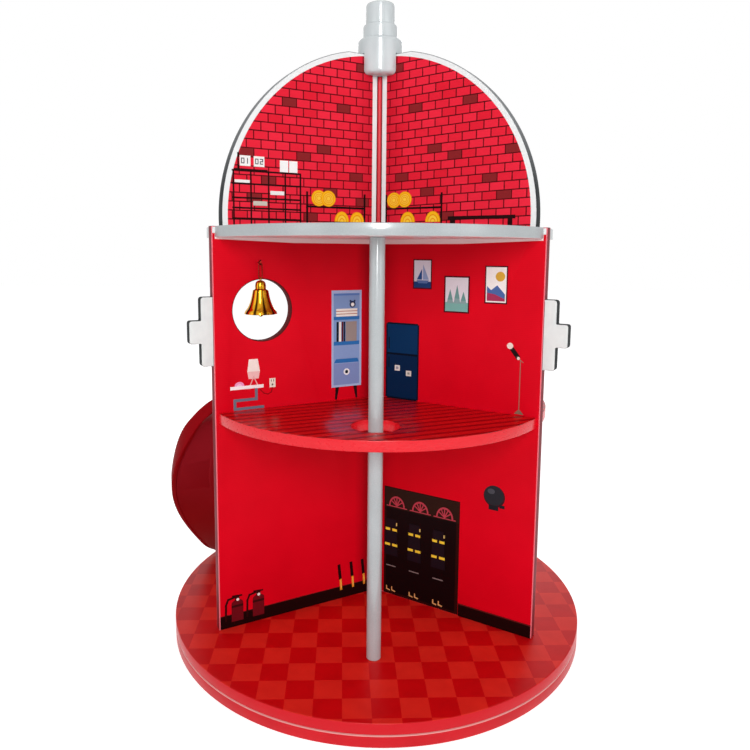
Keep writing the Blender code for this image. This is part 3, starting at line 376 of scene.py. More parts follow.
def plastic_material():
    """Moulded ABS, dyed deep red: glossier high up and painted paler there as light, and even along the outer
    edge.
    """
    finish = Finish("Moulded red ABS", Specular_IOR_Level=0.012)
    point = finish.point(0, (*slide_axis(), DECK_TOP))
    x, y, z = point.parts()
    cloud = point.grain(70, 2)
    high = z.ramp(40.0, 215.0, "SMOOTHSTEP")
    # Painted light: the bed is paler high up and darker low down, where shade falls
    bed = (high * 0.85).mix(cloud.ramp(0.3, 0.7).mix("#840408", "#7C0204"), "#AA2835")
    outer = x.reach(y).ramp(SLIDE_RADIUS - 5.0, SLIDE_RADIUS - 3.5)
    roughness = high * -0.28 + cloud.spread(0.54, 0.62)
    return finish.done(outer.mix(bed, "#8E0A12"), roughness, point.grain(20, 1).bump(0.06, 0.3))


def metal_material(name, colour, deep, roughness):
    """Bare or plated metal with fine turning marks round it."""
    finish = Finish(name, Metallic=1.0)
    marks = finish.point().grain(0.8, 3, TURNING_MARKS)
    uneven = marks.spread(roughness * 0.8, roughness * 1.3)
    return finish.done(marks.ramp(0.3, 0.75).mix(colour, deep), uneven, marks.bump(0.04, 0.02))


def brass_material():
    """Polished brass, spun: bright, with ten uneven brown streaks down the bell, painted dark reflections."""
    finish = Finish("Polished brass", Metallic=1.0)
    x, y, z = finish.point(0, (*BELL_SPOT, 0)).parts()
    bearing = y.math("ARCTAN2", x)
    wave = ((bearing + math.radians(101)) * 10.0).math("COSINE")
    ring = bearing.node("ShaderNodeCombineXYZ", z * 0.02)
    uneven = add(finish.tree, "ShaderNodeTexNoise", {"Vector": ring, "Scale": 1.6, "Detail": 2.0})
    # Painted reflection: dark streaks stand in for dark surroundings mirrored in the brass
    dark_reflection = (uneven * 1.6 + wave).ramp(1.05, 1.75)
    marks = finish.point().grain(0.8, 3, TURNING_MARKS)
    return finish.done(dark_reflection.mix("#DCA024", "#402006"), uneven.spread(0.08, 0.16), marks.bump(0.04, 0.02))


def beech_material():
    """Plain beech: pale brown with short darker flecks along the grain."""
    finish = Finish("Beech", Specular_IOR_Level=0.4, Roughness=0.6)
    flecks = finish.point().grain(0.8, 4, (1.0, 1.0, 0.15))
    return finish.done(flecks.ramp(0.4, 0.65).mix("#D9B88A", "#B98F5E"), normal=flecks.bump(0.1, 0.05))


def ink_material():
    """Screen ink on film: each shape's colour is an attribute of its faces, with a fine dot screen."""
    finish = Finish("Screen ink", Specular_IOR_Level=0.06)
    colour = add(finish.tree, "ShaderNodeAttribute", attribute_name="ink")
    dots = finish.point().grain(0.9, 2)
    return finish.done((dots.ramp(0.35, 0.7) * 0.06).mix(colour, "#000000"), dots.spread(0.38, 0.5))


# Meshes


def mesh_object(name, points, faces):
    """An object in the scene, from points in millimetres and lists of face corners."""
    mesh = bpy.data.meshes.new(name)
    mesh.from_pydata((np.asarray(points, float) * MM).tolist(), [], faces)
    made = bpy.data.objects.new(name, mesh)
    bpy.context.scene.collection.objects.link(made)
    return made


def shade(mesh, sharp=30.0):
    """Smooth shading, but for edges sharper than an angle in degrees."""
    mesh.shade_smooth()
    mesh.set_sharp_from_angle(angle=math.radians(sharp))


def piece(name, points, faces, material, body, *replaced, sharp=30.0):
    """A dressed piece that rides on a body and takes the place of CAD nodes."""
    obj = mesh_object(name, points, faces)
    obj.data.validate()
    shade(obj.data, sharp)
    obj.data.materials.append(material)
    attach(obj, body)
    if replaced:
        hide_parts(*replaced)
    return obj


def circle_loop(centre, radius, count, clockwise=False):
    """Points round a circle, or round an ellipse if the radius is a pair."""
    turns = np.linspace(0, math.tau, count, endpoint=False) * (-1 if clockwise else 1)
    return np.asarray(centre) + radius * np.stack([np.cos(turns), np.sin(turns)], 1)


def arc(centre, radius, start, end, steps):
    """Points on a circle or ellipse from one angle to another, with both ends."""
    turns = np.linspace(start, end, steps + 1)
    return np.asarray(centre) + radius * np.stack([np.cos(turns), np.sin(turns)], 1)


def direction(angle):
    """The flat unit arrow at an angle."""
    return np.array([math.cos(angle), math.sin(angle)])


def unit(arrow):
    return arrow / np.linalg.norm(arrow)


def softened(corners, steps):
    """An outline of (x, y, size): a corner of some size becomes a quadratic bow that starts that far away."""
    places = [np.array(corner[:2]) for corner in corners]
    outline = []
    for i, (here, (_, _, size)) in enumerate(zip(places, corners)):
        before, after = places[i - 1], places[(i + 1) % len(places)]
        first, last = here + unit(before - here) * size, here + unit(after - here) * size
        for t in np.linspace(0, 1, steps + 1) if size else [0.5]:
            outline.append((1 - t) ** 2 * first + 2 * t * (1 - t) * here + t**2 * last)
    return outline


def grid_faces(rings, count, first=0, loop=False):
    """Quads between closed rings of points that are stored one after the other."""
    i = np.arange(count)
    j = (i + 1) % count
    low = np.arange(rings if loop else rings - 1)[:, None] * count
    high = (low + count) % (rings * count)
    quads = np.stack(np.broadcast_arrays(low + i, low + j, high + j, high + i), -1)
    return (quads.reshape(-1, 4) + first).tolist()


def merged(*meshes):
    """Several (points, faces) as one."""
    points, faces, start = [], [], 0
    for some, corners in meshes:
        points.append(np.asarray(some, float))
        faces += [[c + start for c in face] for face in corners]
        start += len(some)
    return np.concatenate(points), faces


def outwards(points, faces):
    """Turns all faces round if the closed shell is inside out."""
    volume = 0.0
    for face in faces:
        for b, c in zip(face[1:], face[2:]):
            volume += np.dot(points[face[0]], np.cross(points[b], points[c]))
    return points, [face[::-1] for face in faces] if volume < 0 else faces


def inset(loop, distance):
    """A loop moved to its left by a distance, with mitred corners."""
    before = loop - np.roll(loop, 1, 0)
    after = np.roll(loop, -1, 0) - loop
    normals = [np.stack([-d[:, 1], d[:, 0]], 1) / np.linalg.norm(d, axis=1)[:, None] for d in (before, after)]
    total = normals[0] + normals[1]
    return loop + distance * total * 2 / (total**2).sum(1)[:, None]


def board(loops, bottom, top, soft=SOFT_EDGE, steps=EDGE_STEPS):
    """A flat board: its edge is a section with rounded corners carried along each loop.

    The first loop runs anticlockwise and the others, round holes, clockwise, so the wood is always
    on the left. Each ring of the edge is the loop moved left by the section's inset. The flat faces
    fill the first and last rings.
    """
    turn = np.linspace(0, math.pi / 2, steps + 1)
    section = [(soft * (1 - math.sin(t)), bottom + soft * (1 - math.cos(t))) for t in turn]
    section += [(soft * (1 - math.cos(t)), top - soft * (1 - math.sin(t))) for t in turn]
    points, faces, caps = [], [], ([], [])
    start = 0
    for loop in loops:
        count = len(loop)
        for within, height in section:
            ring = inset(np.asarray(loop, float), within)
            points.append(np.column_stack([ring, np.full(count, height)]))
        faces += grid_faces(len(section), count, start)
        for cap, ring in zip(caps, (0, len(section) - 1)):
            cap.append(np.arange(count) + start + ring * count)
        start += count * len(section)
    points = np.concatenate(points)
    for cap, up in zip(caps, (False, True)):
        order = np.concatenate(cap)
        for triangle in tessellate_polygon([[Vector((*points[k][:2], 0)) for k in ring] for ring in cap]):
            a, b, c = (int(order[k]) for k in triangle)
            u, v = points[b] - points[a], points[c] - points[a]
            faces.append([a, b, c] if (u[0] * v[1] - u[1] * v[0] > 0) == up else [a, c, b])
    return points, faces


def revolve(profile, count, centre=(0, 0)):
    """A profile of (radius, height) turned round an upright axis. It starts and ends on the axis."""
    circle = circle_loop((0, 0), 1.0, count)
    rings = [np.column_stack([circle * radius, np.full(count, height)]) for radius, height in profile[1:-1]]
    ends = [[0, 0, profile[0][1]], [0, 0, profile[-1][1]]]
    first, last, last_ring = len(rings) * count, len(rings) * count + 1, (len(rings) - 1) * count
    faces = grid_faces(len(rings), count)
    for i in range(count):
        j = (i + 1) % count
        faces += [[first, j, i], [last, last_ring + i, last_ring + j]]
    return outwards(np.concatenate([*rings, ends]) + [*centre, 0], faces)


def tube(path, radius, sides=12, closed=False):
    """A round section carried along a path that lies in one plane."""
    path = np.asarray(path, float)
    ahead = np.roll(path, -1, 0) - np.roll(path, 1, 0)
    if not closed:
        ahead[0], ahead[-1] = path[1] - path[0], path[-1] - path[-2]
    ahead /= np.linalg.norm(ahead, axis=1)[:, None]
    plane = np.linalg.svd(path - path.mean(0))[2][-1]
    across = np.cross(ahead, plane)
    across /= np.linalg.norm(across, axis=1)[:, None]
    aside = np.cross(across, ahead)
    circle = circle_loop((0, 0), radius, sides)
    rings = [place + circle @ pair for *pair, place in zip(across, aside, path)]
    faces = grid_faces(len(path), sides, loop=closed)
    if not closed:
        last = (len(path) - 1) * sides
        faces += [list(range(sides))[::-1], list(range(last, last + sides))]
    return outwards(np.concatenate(rings), faces)


def stand(points, angle):
    """Turns a board that lies in XY, X outwards and Y up, upright along a wall, on the deck."""
    r, z, side = np.asarray(points, float).T
    plan = r[:, None] * direction(angle) + side[:, None] * direction(angle - math.pi / 2)
    return np.column_stack([plan, z + DECK_TOP])


def on_deck(profile):
    """A profile whose heights are counted from the deck's top, in the part's frame."""
    return [(radius, height + DECK_TOP) for radius, height in profile]


def carve(obj, *cutters):
    """Takes closed shells out of a piece with exact Booleans and keeps the finished mesh."""
    helpers = [mesh_object("cutter", *outwards(*shape)) for shape in cutters]
    for helper in helpers:
        modifier = obj.modifiers.new("Cut", "BOOLEAN")
        modifier.solver = "EXACT"
        modifier.object = helper
    bpy.context.view_layer.update()
    done = bpy.data.meshes.new_from_object(obj.evaluated_get(bpy.context.evaluated_depsgraph_get()))
    done.name = obj.data.name
    obj.modifiers.clear()
    obj.data = done
    for helper in helpers:
        bpy.data.objects.remove(helper)
    shade(done)


# Boards


def wall_loop():
    """A wall's outline: a straight side, a step at the shoulder, and one arc cut off flat for the nut."""
    inner, seat = 5.0, 0.3
    start = math.asin((SHOULDER - DOME_CENTRE) / DOME_RADIUS)
    end = math.asin((DOME_TOP - DOME_CENTRE) / DOME_RADIUS)
    corners = [(inner, seat), (WALL_REACH, seat), (WALL_REACH, SHOULDER)]
    return np.concatenate([corners, arc((0, DOME_CENTRE), DOME_RADIUS, start, end, 72), [(inner, DOME_TOP)]])


def make_walls():
    """The three wall boards. A board's edge bands come first among its faces and take the lacquer."""
    for key, angle in WALLS.items():
        loops = [wall_loop()]
        if key == "left":
            loops.append(circle_loop(PORTHOLE[:2], PORTHOLE[2], 96, clockwise=True))
        points, faces = board(loops, -BOARD / 2, BOARD / 2)
        shape = outwards(stand(points, angle), faces)
        wall = piece(f"{key}_wall_board", *shape, wall_material(key, angle), "station", f"{key}_wall")
        wall.data.materials.append(wall_edge_material(key, angle))
        index = np.zeros(len(faces), np.int32)
        bands = 2 * EDGE_STEPS + 1
        index[: sum(map(len, loops)) * bands] = 1
        wall.data.polygons.foreach_set("material_index", index)


def floor_loop(wall):
    """A floor's plan: an arc between two walls' faces, and the post's notch at its inner corner."""
    edge, notch_radius = BOARD / 2 + GAP, POST_RADIUS + 0.3
    outer, inner = math.asin(edge / FLOOR_RADIUS), math.asin(edge / notch_radius)
    rim = arc((0, 0), FLOOR_RADIUS, wall + outer, wall + SECTOR - outer, 72)
    return np.concatenate([rim, arc((0, 0), notch_radius, wall + SECTOR - inner, wall + inner, 6)])


def slide_axis():
    """The place of the upright axis that the slide winds about."""
    return SLIDE_AXIS_REACH * direction(SLIDE_AXIS_ANGLE)


def notch_shape():
    """The space that the chute passes through: part of a ring about the slide's axis."""
    centre, start, end = slide_axis(), SLIDE_START, SLIDE_AXIS_ANGLE
    corner = FLOOR_RADIUS * direction(WALLS["left"])
    inner, outer = SLIDE_RADIUS - SLIDE_WIDTH - 0.6, np.linalg.norm(corner - centre) + 1.2
    loop = np.concatenate([arc(centre, outer, end, start, 40), arc(centre, inner, start, end, 40)])
    return board([loop], MIDDLE_BOTTOM + DECK_TOP - 4, MIDDLE_TOP + DECK_TOP + 4, GAP, 1)


def make_floors(planks, silver):
    """A third of a disc in each sector, on two levels. The front one lets the pole through."""
    for key, wall in SECTORS.items():
        for level, bottom, material in (("middle", MIDDLE_BOTTOM, planks), ("upper", UPPER_BOTTOM, silver)):
            loops = [floor_loop(wall)]
            if (key, level) == ("front", "middle"):
                loops.append(circle_loop((0, -POLE_REACH), POLE_HOLE_RADIUS, 72, clockwise=True))
            shape = outwards(*board(loops, bottom + DECK_TOP, bottom + DECK_TOP + BOARD))
            name = f"{key}_{level}_floor"
            floor = piece(f"{name}_board", *shape, material, "station", name)
            if (key, level) == ("left", "middle"):
                carve(floor, notch_shape())


def make_discs(deck_paint, foot_paint):
    """The foot and the deck: two round boards on one axis."""
    for name, bottom, material, body in (
        ("foot_disc", 0.0, foot_paint, "base"),
        ("deck_disc", DECK_BOTTOM, deck_paint, "station"),
    ):
        shape = board([circle_loop((0, 0), PLATE_RADIUS, 240)], bottom, bottom + BOARD, steps=4)
        piece(f"{name}_board", *shape, material, body, name)


def make_outlets():
    """The hydrant's side outlets: a rounded flange with a narrower nozzle, cut from board."""
    inner, outer, tip = WALL_REACH + 0.1, WALL_REACH + 10.7, WALL_REACH + 20.8
    low, high, half = 246.0, 306.5, 10.0
    under, over = (low + high) / 2 - half, (low + high) / 2 + half
    loop = softened([
        (inner, low, 0), (outer, low, 3.0), (outer, under, 0.8), (tip, under, 2.5),
        (tip, over, 2.5), (outer, over, 0.8), (outer, high, 3.0), (inner, high, 0),
    ], 6)
    for key, angle in WALLS.items():
        points, faces = board([loop], -BOARD / 2, BOARD / 2)
        shape = outwards(stand(points, angle), faces)
        piece(f"{key}_outlet_board", *shape, outlet_material(key, angle), "station", f"{key}_outlet")


# Turned pieces


def soft_edge(radius, level, side, corner):
    """A turned disc's rounded edge, going up: side is 1 at its lower face and -1 at its upper face."""
    start = -math.pi / 2 if side > 0 else 0.0
    return arc((radius - corner, level + side * corner), corner, start, start + math.pi / 2, 5).tolist()


def make_nut(silver):
    """The top nut: three turned steps, slotted from below where it straddles the walls."""
    skirt, neck, cap, top = DOME_TOP - 18.7, DOME_TOP + 15.2, DOME_TOP + 28.2, DOME_TOP + 47.5
    profile = [(0, skirt)] + soft_edge(20.8, skirt, 1, 4.0) + soft_edge(20.8, neck, -1, 3.0)
    profile += [(16.7, neck), (16.2, neck + 0.5)] + soft_edge(16.2, cap, -1, 2.0)
    profile += [(13.9, cap), (13.6, cap + 0.3)] + soft_edge(13.6, top, -1, 2.2) + [(0, top)]
    nut = piece("hydrant_nut_turning", *revolve(on_deck(profile), 96), silver, "station", "hydrant_nut")
    start, end, below, roof, clearance = -3.0, 30.0, 300.0, DOME_TOP + 0.4, 0.8
    loop = np.array([(start, below), (end, below), (end, roof), (start, roof)])
    points, faces = board([loop], -BOARD / 2 - clearance, BOARD / 2 + clearance, GAP, 1)
    carve(nut, *[(stand(points, angle), faces) for angle in WALLS.values()])


def make_pole(silver):
    """The fire pole: a turned rod with rounded ends, from the deck to the upper floor."""
    gap, soft = 0.3, 0.7
    top = UPPER_BOTTOM - gap
    profile = softened([(0, gap, 0), (POLE_RADIUS, gap, soft), (POLE_RADIUS, top, soft), (0, top, 0)], 4)
    piece("fire_pole_rod", *revolve(on_deck(profile), 64, (0, -POLE_REACH)), silver, "station", "fire_pole")


# The slide


def eased(share, ease=0.16):
    """A steady fall from 0 to 1 with a short rounding at both ends."""
    rate = 1 / (1 - ease)
    if share < ease:
        return rate * share**2 / (2 * ease)
    if share > 1 - ease:
        return 1 - rate * (1 - share) ** 2 / (2 * ease)
    return rate * (share - ease / 2)


def held(value):
    """A value kept between 0 and 1."""
    return min(1.0, max(0.0, value))


def hump(share, start, end):
    """A smooth rise from 0 to 1 and back to 0 between two shares of the chute's length."""
    return math.sin(math.pi * held((share - start) / (end - start))) ** 2


def chute_section(width, rim, bed, bead):
    """The chute's outline: its underside with a bead along each edge, its rims and its floor."""
    thick = 2.4
    cap, fillet = min(thick, rim) / 2, min(1.8, rim / 2)
    half, under_bead = width / 2, -bed - bead
    quarter = math.pi / 2
    side = np.concatenate([
        [(half - 4.8, -bed), (half - 3.9, under_bead)],
        arc((half - fillet, under_bead + fillet), fillet, -quarter, 0, 4),
        arc((half - cap, rim - cap), cap, 0, math.pi, 8),
        arc((half - 2 * cap - fillet, fillet), fillet, 0, -quarter, 4),
    ])
    return np.concatenate([side, side[::-1] * [-1, 1]])


def make_slide(plastic):
    """The chute: its section carried down a helix about the slide's axis, with a flat lip at each end.

    It widens inwards by 4 mm, its rims rise by 7 mm in the upper bend, and a bead of 1.6 mm runs
    along its underside. A section is a turn, a height, an inner radius and chute_section's values.
    """
    lip, lip_width, lip_rim, lip_bed = 2.5, 20.0, 0.6, 2.2
    inside = SLIDE_RADIUS - SLIDE_WIDTH
    top, low = MIDDLE_TOP + DECK_TOP + lip, DECK_TOP + lip
    sections = []
    for share in (1.0, 0.5, 0.15):
        sections.append((SLIDE_START + SLIDE_LIP * share, top, inside, lip_width, lip_rim, lip_bed, 0.0))
    for share in np.linspace(0, 1, 121):
        to_end = min(share, 1 - share)
        grow = held(to_end / 0.015)
        rim = lip_rim + 8.4 * grow**2 * (3 - 2 * grow) + 7.0 * hump(share, 0.10, 0.44)
        bed = lip_bed + 0.8 * held(to_end / 0.1)
        bead = 1.6 * held(min(share - 0.04, 0.93 - share) / 0.06)
        width = SLIDE_WIDTH + 4.0 * hump(share, 0.28, 0.94)
        turn = SLIDE_START + (SLIDE_END - SLIDE_START) * share
        sections.append((turn, top + (low - top) * eased(share), SLIDE_RADIUS - width, width, rim, bed, bead))
    for share in (0.3, 0.6, 1.0):
        sections.append((SLIDE_END - SLIDE_LIP * share, low, inside, SLIDE_WIDTH, lip_rim, lip_bed, 0.0))
    rings = []
    for turn, height, inner, width, *thickness in sections:
        across, lift = chute_section(width, *thickness).T
        plan = slide_axis() + (inner + width / 2 + across)[:, None] * direction(turn)
        rings.append(np.column_stack([plan, height + lift]))
    count, last = len(rings[0]), (len(rings) - 1) * len(rings[0])
    faces = grid_faces(len(rings), count) + [list(range(count))[::-1], list(range(last, last + count))]
    piece("slide_chute", *outwards(np.concatenate(rings), faces), plastic, "station", "slide", sharp=40)


# The bell


def smooth_curve(points, count):
    """A smooth curve through points, with each point's slope the mean of its two sides."""
    points = np.asarray(points, float)
    steps = np.r_[0, np.cumsum(np.linalg.norm(np.diff(points, axis=0), axis=1))]
    slopes = np.gradient(points, steps, axis=0)
    at = np.linspace(0, steps[-1], count)
    k = np.clip(np.searchsorted(steps, at, side="right") - 1, 0, len(steps) - 2)
    span = (steps[k + 1] - steps[k])[:, None]
    t = (at - steps[k])[:, None] / span
    ends = (2 * t**3 - 3 * t**2 + 1) * points[k] + (3 * t**2 - 2 * t**3) * points[k + 1]
    return ends + (t**3 - 2 * t**2 + t) * slopes[k] * span + (t**3 - t**2) * slopes[k + 1] * span


def make_bell(gold):
    """The bell: a turned shell with a crown, a flared skirt and an even wall, and a loop on top."""
    crown, shoulder, rim, height, wall = 4.75, 6.8, 14.6, 29.5, 1.3
    crown_height, roof = 8.0, 9.4
    crown_shares = ((0.46, 0.05), (0.82, 0.22), (0.98, 0.55), (1.0, 0.94))
    skirt_shares = ((0, 0.04), (0.08, 0.18), (0.19, 0.36), (0.36, 0.56), (0.62, 0.76), (0.9, 0.9), (1, 1))
    flare, fall = rim - shoulder, height - crown_height
    skirt = [(shoulder + flare * out, crown_height + fall * down) for out, down in skirt_shares]
    skirt = smooth_curve(skirt, 40)
    outside = [(0, 0), *smooth_curve([(crown * out, crown_height * down) for out, down in crown_shares], 14)]
    outside += [(shoulder - 1.2, crown_height + 0.2), (shoulder - 0.4, crown_height + 0.5), *skirt]
    inside = [(rim - 0.5, height + 0.25), (rim - wall, height)]
    inside += [(radius - wall, depth) for radius, depth in skirt[::-1] if depth > 10]
    inside += [(3.6, roof), (0, roof)]
    shell = revolve([(radius, BELL_TOP - depth) for radius, depth in outside + inside], 72, BELL_SPOT)
    normal, bow = direction(WALLS["left"] + math.pi / 2), 1.7
    arch = [(bow, -0.9), *arc((0, 0.7), bow, 0, math.pi, 16), (-bow, -0.9)]
    loop = [[*(BELL_SPOT + normal * x), BELL_TOP + z] for x, z in arch]
    piece("bell_shell_turning", *merged(shell, tube(loop, 0.45)), gold, "bell", "bell_shell")


def make_clapper(steel):
    """The clapper: a thin rod with a ball, below a small ring."""
    top, middle, ball, rod, eye = BELL_TOP - 10.6, BELL_TOP - 30.0, 2.25, 0.7, 1.3
    quarter = math.pi / 2
    profile = [*arc((0, middle), ball, -quarter, quarter - math.asin(rod / ball), 16)]
    profile += [(rod, top - 2.4), (0, top - 2.4)]
    along = direction(WALLS["left"])
    ring = [[*(BELL_SPOT + along * x), z] for x, z in circle_loop((0, top - eye), eye, 24)]
    shape = merged(revolve(profile, 32, BELL_SPOT), tube(ring, 0.4, closed=True))
    piece("bell_clapper_rod", *shape, steel, "clapper", "bell_clapper")


# Printed art: a shape is a hex colour and an outline of (r, z) points on a wall's face


def inked(colour, *outlines):
    """Several outlines in one colour."""
    return [(colour, outline) for outline in outlines]


def box(r0, z0, r1, z1):
    """A box's outline from its sides."""
    return [(r0, z0), (r1, z0), (r1, z1), (r0, z1)]


def boxes(*rows):
    """Boxes from rows of a colour, a left side, a bottom, a right side and a top."""
    return [(colour, box(*sides)) for colour, *sides in rows]


def oval(r, z, width, height=None, count=28):
    """An ellipse round a point."""
    return circle_loop((r, z), np.array([width, height or width]) / 2, count)


def half_oval(r, z, width, height, count=22):
    """The upper half of an ellipse round a point."""
    return arc((r, z), np.array([width, height]) / 2, 0, math.pi, count - 1)


def line(colour, width, *path):
    """Bars along a path of points, as one rectangle for each stretch."""
    bars = []
    for start, end in zip(path, path[1:]):
        along = unit(np.subtract(end, start)) * width / 2
        side = np.array([-along[1], along[0]])
        a, b = np.array(start) - along, np.array(end) + along
        bars.append((colour, [tuple(a - side), tuple(b - side), tuple(b + side), tuple(a + side)]))
    return bars


def make_print(name, side, groups, material):
    """Plates of ink on a wall's front face: an outline, r outwards and z up, given a thickness.

    In a group, each shape stands a hair higher than the one before, so it covers that one.
    """
    sunk, proud, layer_step = 0.02, 0.03, 0.012
    shells, inks = [], []
    for group in groups:
        for layer, (colour, outline) in enumerate(group):
            r, z = np.array(outline, float).T
            count = len(r)
            heights = (BOARD / 2 - sunk, BOARD / 2 + proud + layer_step * layer)
            rings = [np.column_stack([r, z, np.full(count, FRONT_SIDES[side] * out)]) for out in heights]
            faces = grid_faces(2, count) + [list(range(count))[::-1], list(range(count, 2 * count))]
            shells.append(outwards(stand(np.concatenate(rings), WALLS[side]), faces))
            inks += [linear(colour)] * sum(map(len, faces))
    printed = piece(name, *merged(*shells), material, "station", sharp=20)
    ink = printed.data.color_attributes.new("ink", "FLOAT_COLOR", "CORNER")
    ink.data.foreach_set("color", np.array(inks, np.float32).ravel())


def left_middle_room():
    """A tall blue shelf, a side table with a lamp, and a wall socket."""
    shelf = boxes(
        ("#A9BCE0", 20.8, 216.5, 52.8, 309.5), ("#5B7FC0", 23.0, 303.8, 50.6, 306.6),
        ("#7F9CCB", 23.0, 283.8, 50.6, 304.6), ("#7F9CCB", 23.0, 259.4, 50.6, 281.6),
        ("#86A0D0", 23.0, 241.5, 50.6, 257.0), ("#8093C6", 23.0, 218.6, 50.6, 239.4),
        ("#2F6FB4", 23.0, 281.4, 50.6, 284.6), ("#2F6FB4", 23.0, 257.0, 50.6, 260.6),
    )
    shelf += inked("#2F6FB4", [(23.0, 239.8), (50.6, 239.8), (48.0, 243.8), (25.0, 243.8)])
    # Lying books, a small alarm clock, standing books and a box
    pale, brown = "#F4F0E8", "#B06A50"
    for z, colour in ((284.6, pale), (286.6, brown), (287.3, pale), (289.3, brown), (290.0, "#F1ECE2")):
        shelf += boxes((colour, 25.4, z, 48.0, z + 2.0))
    shelf += inked("#1E2C50", oval(30.6, 296.0, 6.4), *[oval(r, 299.2, 2.0, count=10) for r in (28.4, 32.8)])
    shelf += inked("#F6F4F0", oval(30.6, 295.8, 3.6))
    shelf += boxes(
        ("#14181E", 45.4, 260.6, 47.6, 279.6), ("#F1EADF", 42.8, 260.6, 45.0, 279.6),
        ("#5A1A22", 40.4, 260.6, 42.2, 279.6), ("#14203A", 38.4, 260.6, 40.0, 279.6),
        ("#9A8E8A", 26.0, 260.6, 37.8, 279.6),
    )
    shelf += inked("#F2F2F4", oval(36.8, 231.0, 6.4)) + inked("#101828", oval(36.8, 231.0, 3.4))
    legs = inked("#200A0E", [(25.4, 216.5), (29.4, 216.5), (26.6, 204.4), (24.8, 204.4)])
    legs += inked("#200A0E", [(44.6, 216.5), (48.6, 216.5), (49.0, 204.4), (47.2, 204.4)])
    table = line(
        "#6E7688", 2.6, (122.0, 205.6), (148.0, 205.6), (148.0, 213.4), (128.0, 213.4), (128.0, 223.4)
    )
    table += boxes(("#FBF1F2", 121.0, 223.2, 152.0, 226.2))
    lamp = inked("#FBE9E2", [(124.4, 238.6), (136.2, 238.6), (134.6, 249.8), (126.2, 249.8)])
    lamp += inked("#F4BFBE", [(125.6, 232.0), (135.0, 232.0), (136.2, 238.6), (124.4, 238.6)])
    for foot in (126.8, 133.6):
        lamp += line("#E9A9A8", 1.0, (130.2, 234.0), (foot, 226.4))
    bowl = inked("#F09CC8", half_oval(143.6, 226.2, 9.0, 8.0, 14))
    bowl += inked("#F8C8E0", half_oval(143.6, 226.2, 5.0, 4.0, 14))
    socket = boxes(("#EFE6D8", 109.6, 222.6, 115.4, 231.0))
    for r in (111.4, 113.6):
        socket += line("#6A5A50", 0.7, (r, 228.2), (r, 229.6))
    socket += inked("#6A5A50", oval(112.5, 225.2, 1.8))
    path = (112.5, 222.4), (113.6, 218.4), (117.0, 216.6), (121.0, 218.0), (124.0, 221.4)
    return [shelf, legs, table, lamp, bowl, socket, line("#8C0A10", 0.9, *path)]


def right_middle_room():
    """A dark-blue cold cupboard, three framed pictures of plain shapes, and a microphone stand."""
    cupboard = boxes(
        ("#020C20", 12.6, 204.8, 48.4, 277.2), ("#020C20", 14.0, 203.6, 47.0, 278.4),
        ("#05305A", 14.2, 249.0, 46.8, 276.8), ("#042246", 14.2, 205.4, 46.8, 247.0),
        ("#050E28", 15.4, 252.4, 16.8, 264.0), ("#050E28", 15.4, 234.0, 16.8, 244.6),
        ("#E6E2DC", 22.6, 231.6, 28.2, 237.0), ("#9C9AA6", 24.0, 233.0, 26.8, 235.6),
        ("#DCD6CC", 35.0, 227.4, 40.6, 232.6), ("#8E9488", 36.6, 228.8, 39.0, 231.0),
    )
    boat = boxes(
        ("#4E0614", 41.0, 311.6, 60.6, 339.4), ("#DCDDE8", 42.2, 312.8, 59.4, 338.2),
        ("#1F3F78", 42.2, 312.8, 59.4, 318.6),
    )
    boat += inked("#8FA4CC", [(51.4, 320.4), (57.6, 320.4), (51.4, 334.6)])
    boat += inked("#274E8C", [(50.4, 320.4), (45.0, 320.4), (50.4, 330.6)])
    boat += inked("#5A74AC", [(44.6, 319.8), (57.8, 319.8), (55.6, 317.0), (46.8, 317.0)])
    pines = boxes(
        ("#4E0614", 73.2, 291.0, 98.2, 324.6), ("#E4DEE6", 74.6, 292.4, 96.8, 323.2),
        ("#7DB4AC", 74.6, 292.4, 96.8, 300.6),
    )
    for r, height in ((79.4, 11.0), (86.2, 15.0), (92.4, 9.0)):
        pines += inked("#8AA6A8", [(r - 3.4, 299.6), (r + 3.4, 299.6), (r, 299.6 + height)])
        middle = 299.6 + height * 0.3
        pines += inked("#6E9C98", [(r - 2.6, middle), (r + 2.6, middle), (r, 301.6 + height)])
    hills = boxes(("#4E0614", 112.4, 301.0, 133.4, 334.4), ("#F6EFEC", 113.6, 302.2, 132.2, 333.2))
    hills += inked("#D9A83E", oval(126.6, 325.0, 8.6))
    ground = [(114.6, 303.4), (131.2, 303.4)]
    hills += inked("#4D6AA6", ground + [(131.2, 309.6), (124.0, 317.4), (118.4, 313.0), (114.6, 316.4)])
    hills += inked("#A8365A", ground + [(131.2, 305.4), (122.0, 309.4), (114.6, 310.6)])
    microphone = line("#9A6A5E", 0.8, (147.2, 207.0), (147.2, 252.8))
    microphone += inked("#8A6A5A", [(142.8, 204.8), (151.6, 204.8), (148.2, 208.6), (146.2, 208.6)])
    microphone += line("#9A6A5E", 0.8, (144.8, 254.6), (149.4, 251.2))
    microphone += line("#1A0E10", 4.0, (139.9, 261.4), (144.2, 256.0))
    microphone += inked("#F2DCD2", oval(137.4, 264.8, 5.6), oval(145.2, 254.4, 2.8, count=14))
    return [cupboard, boat, pines, hills, microphone]


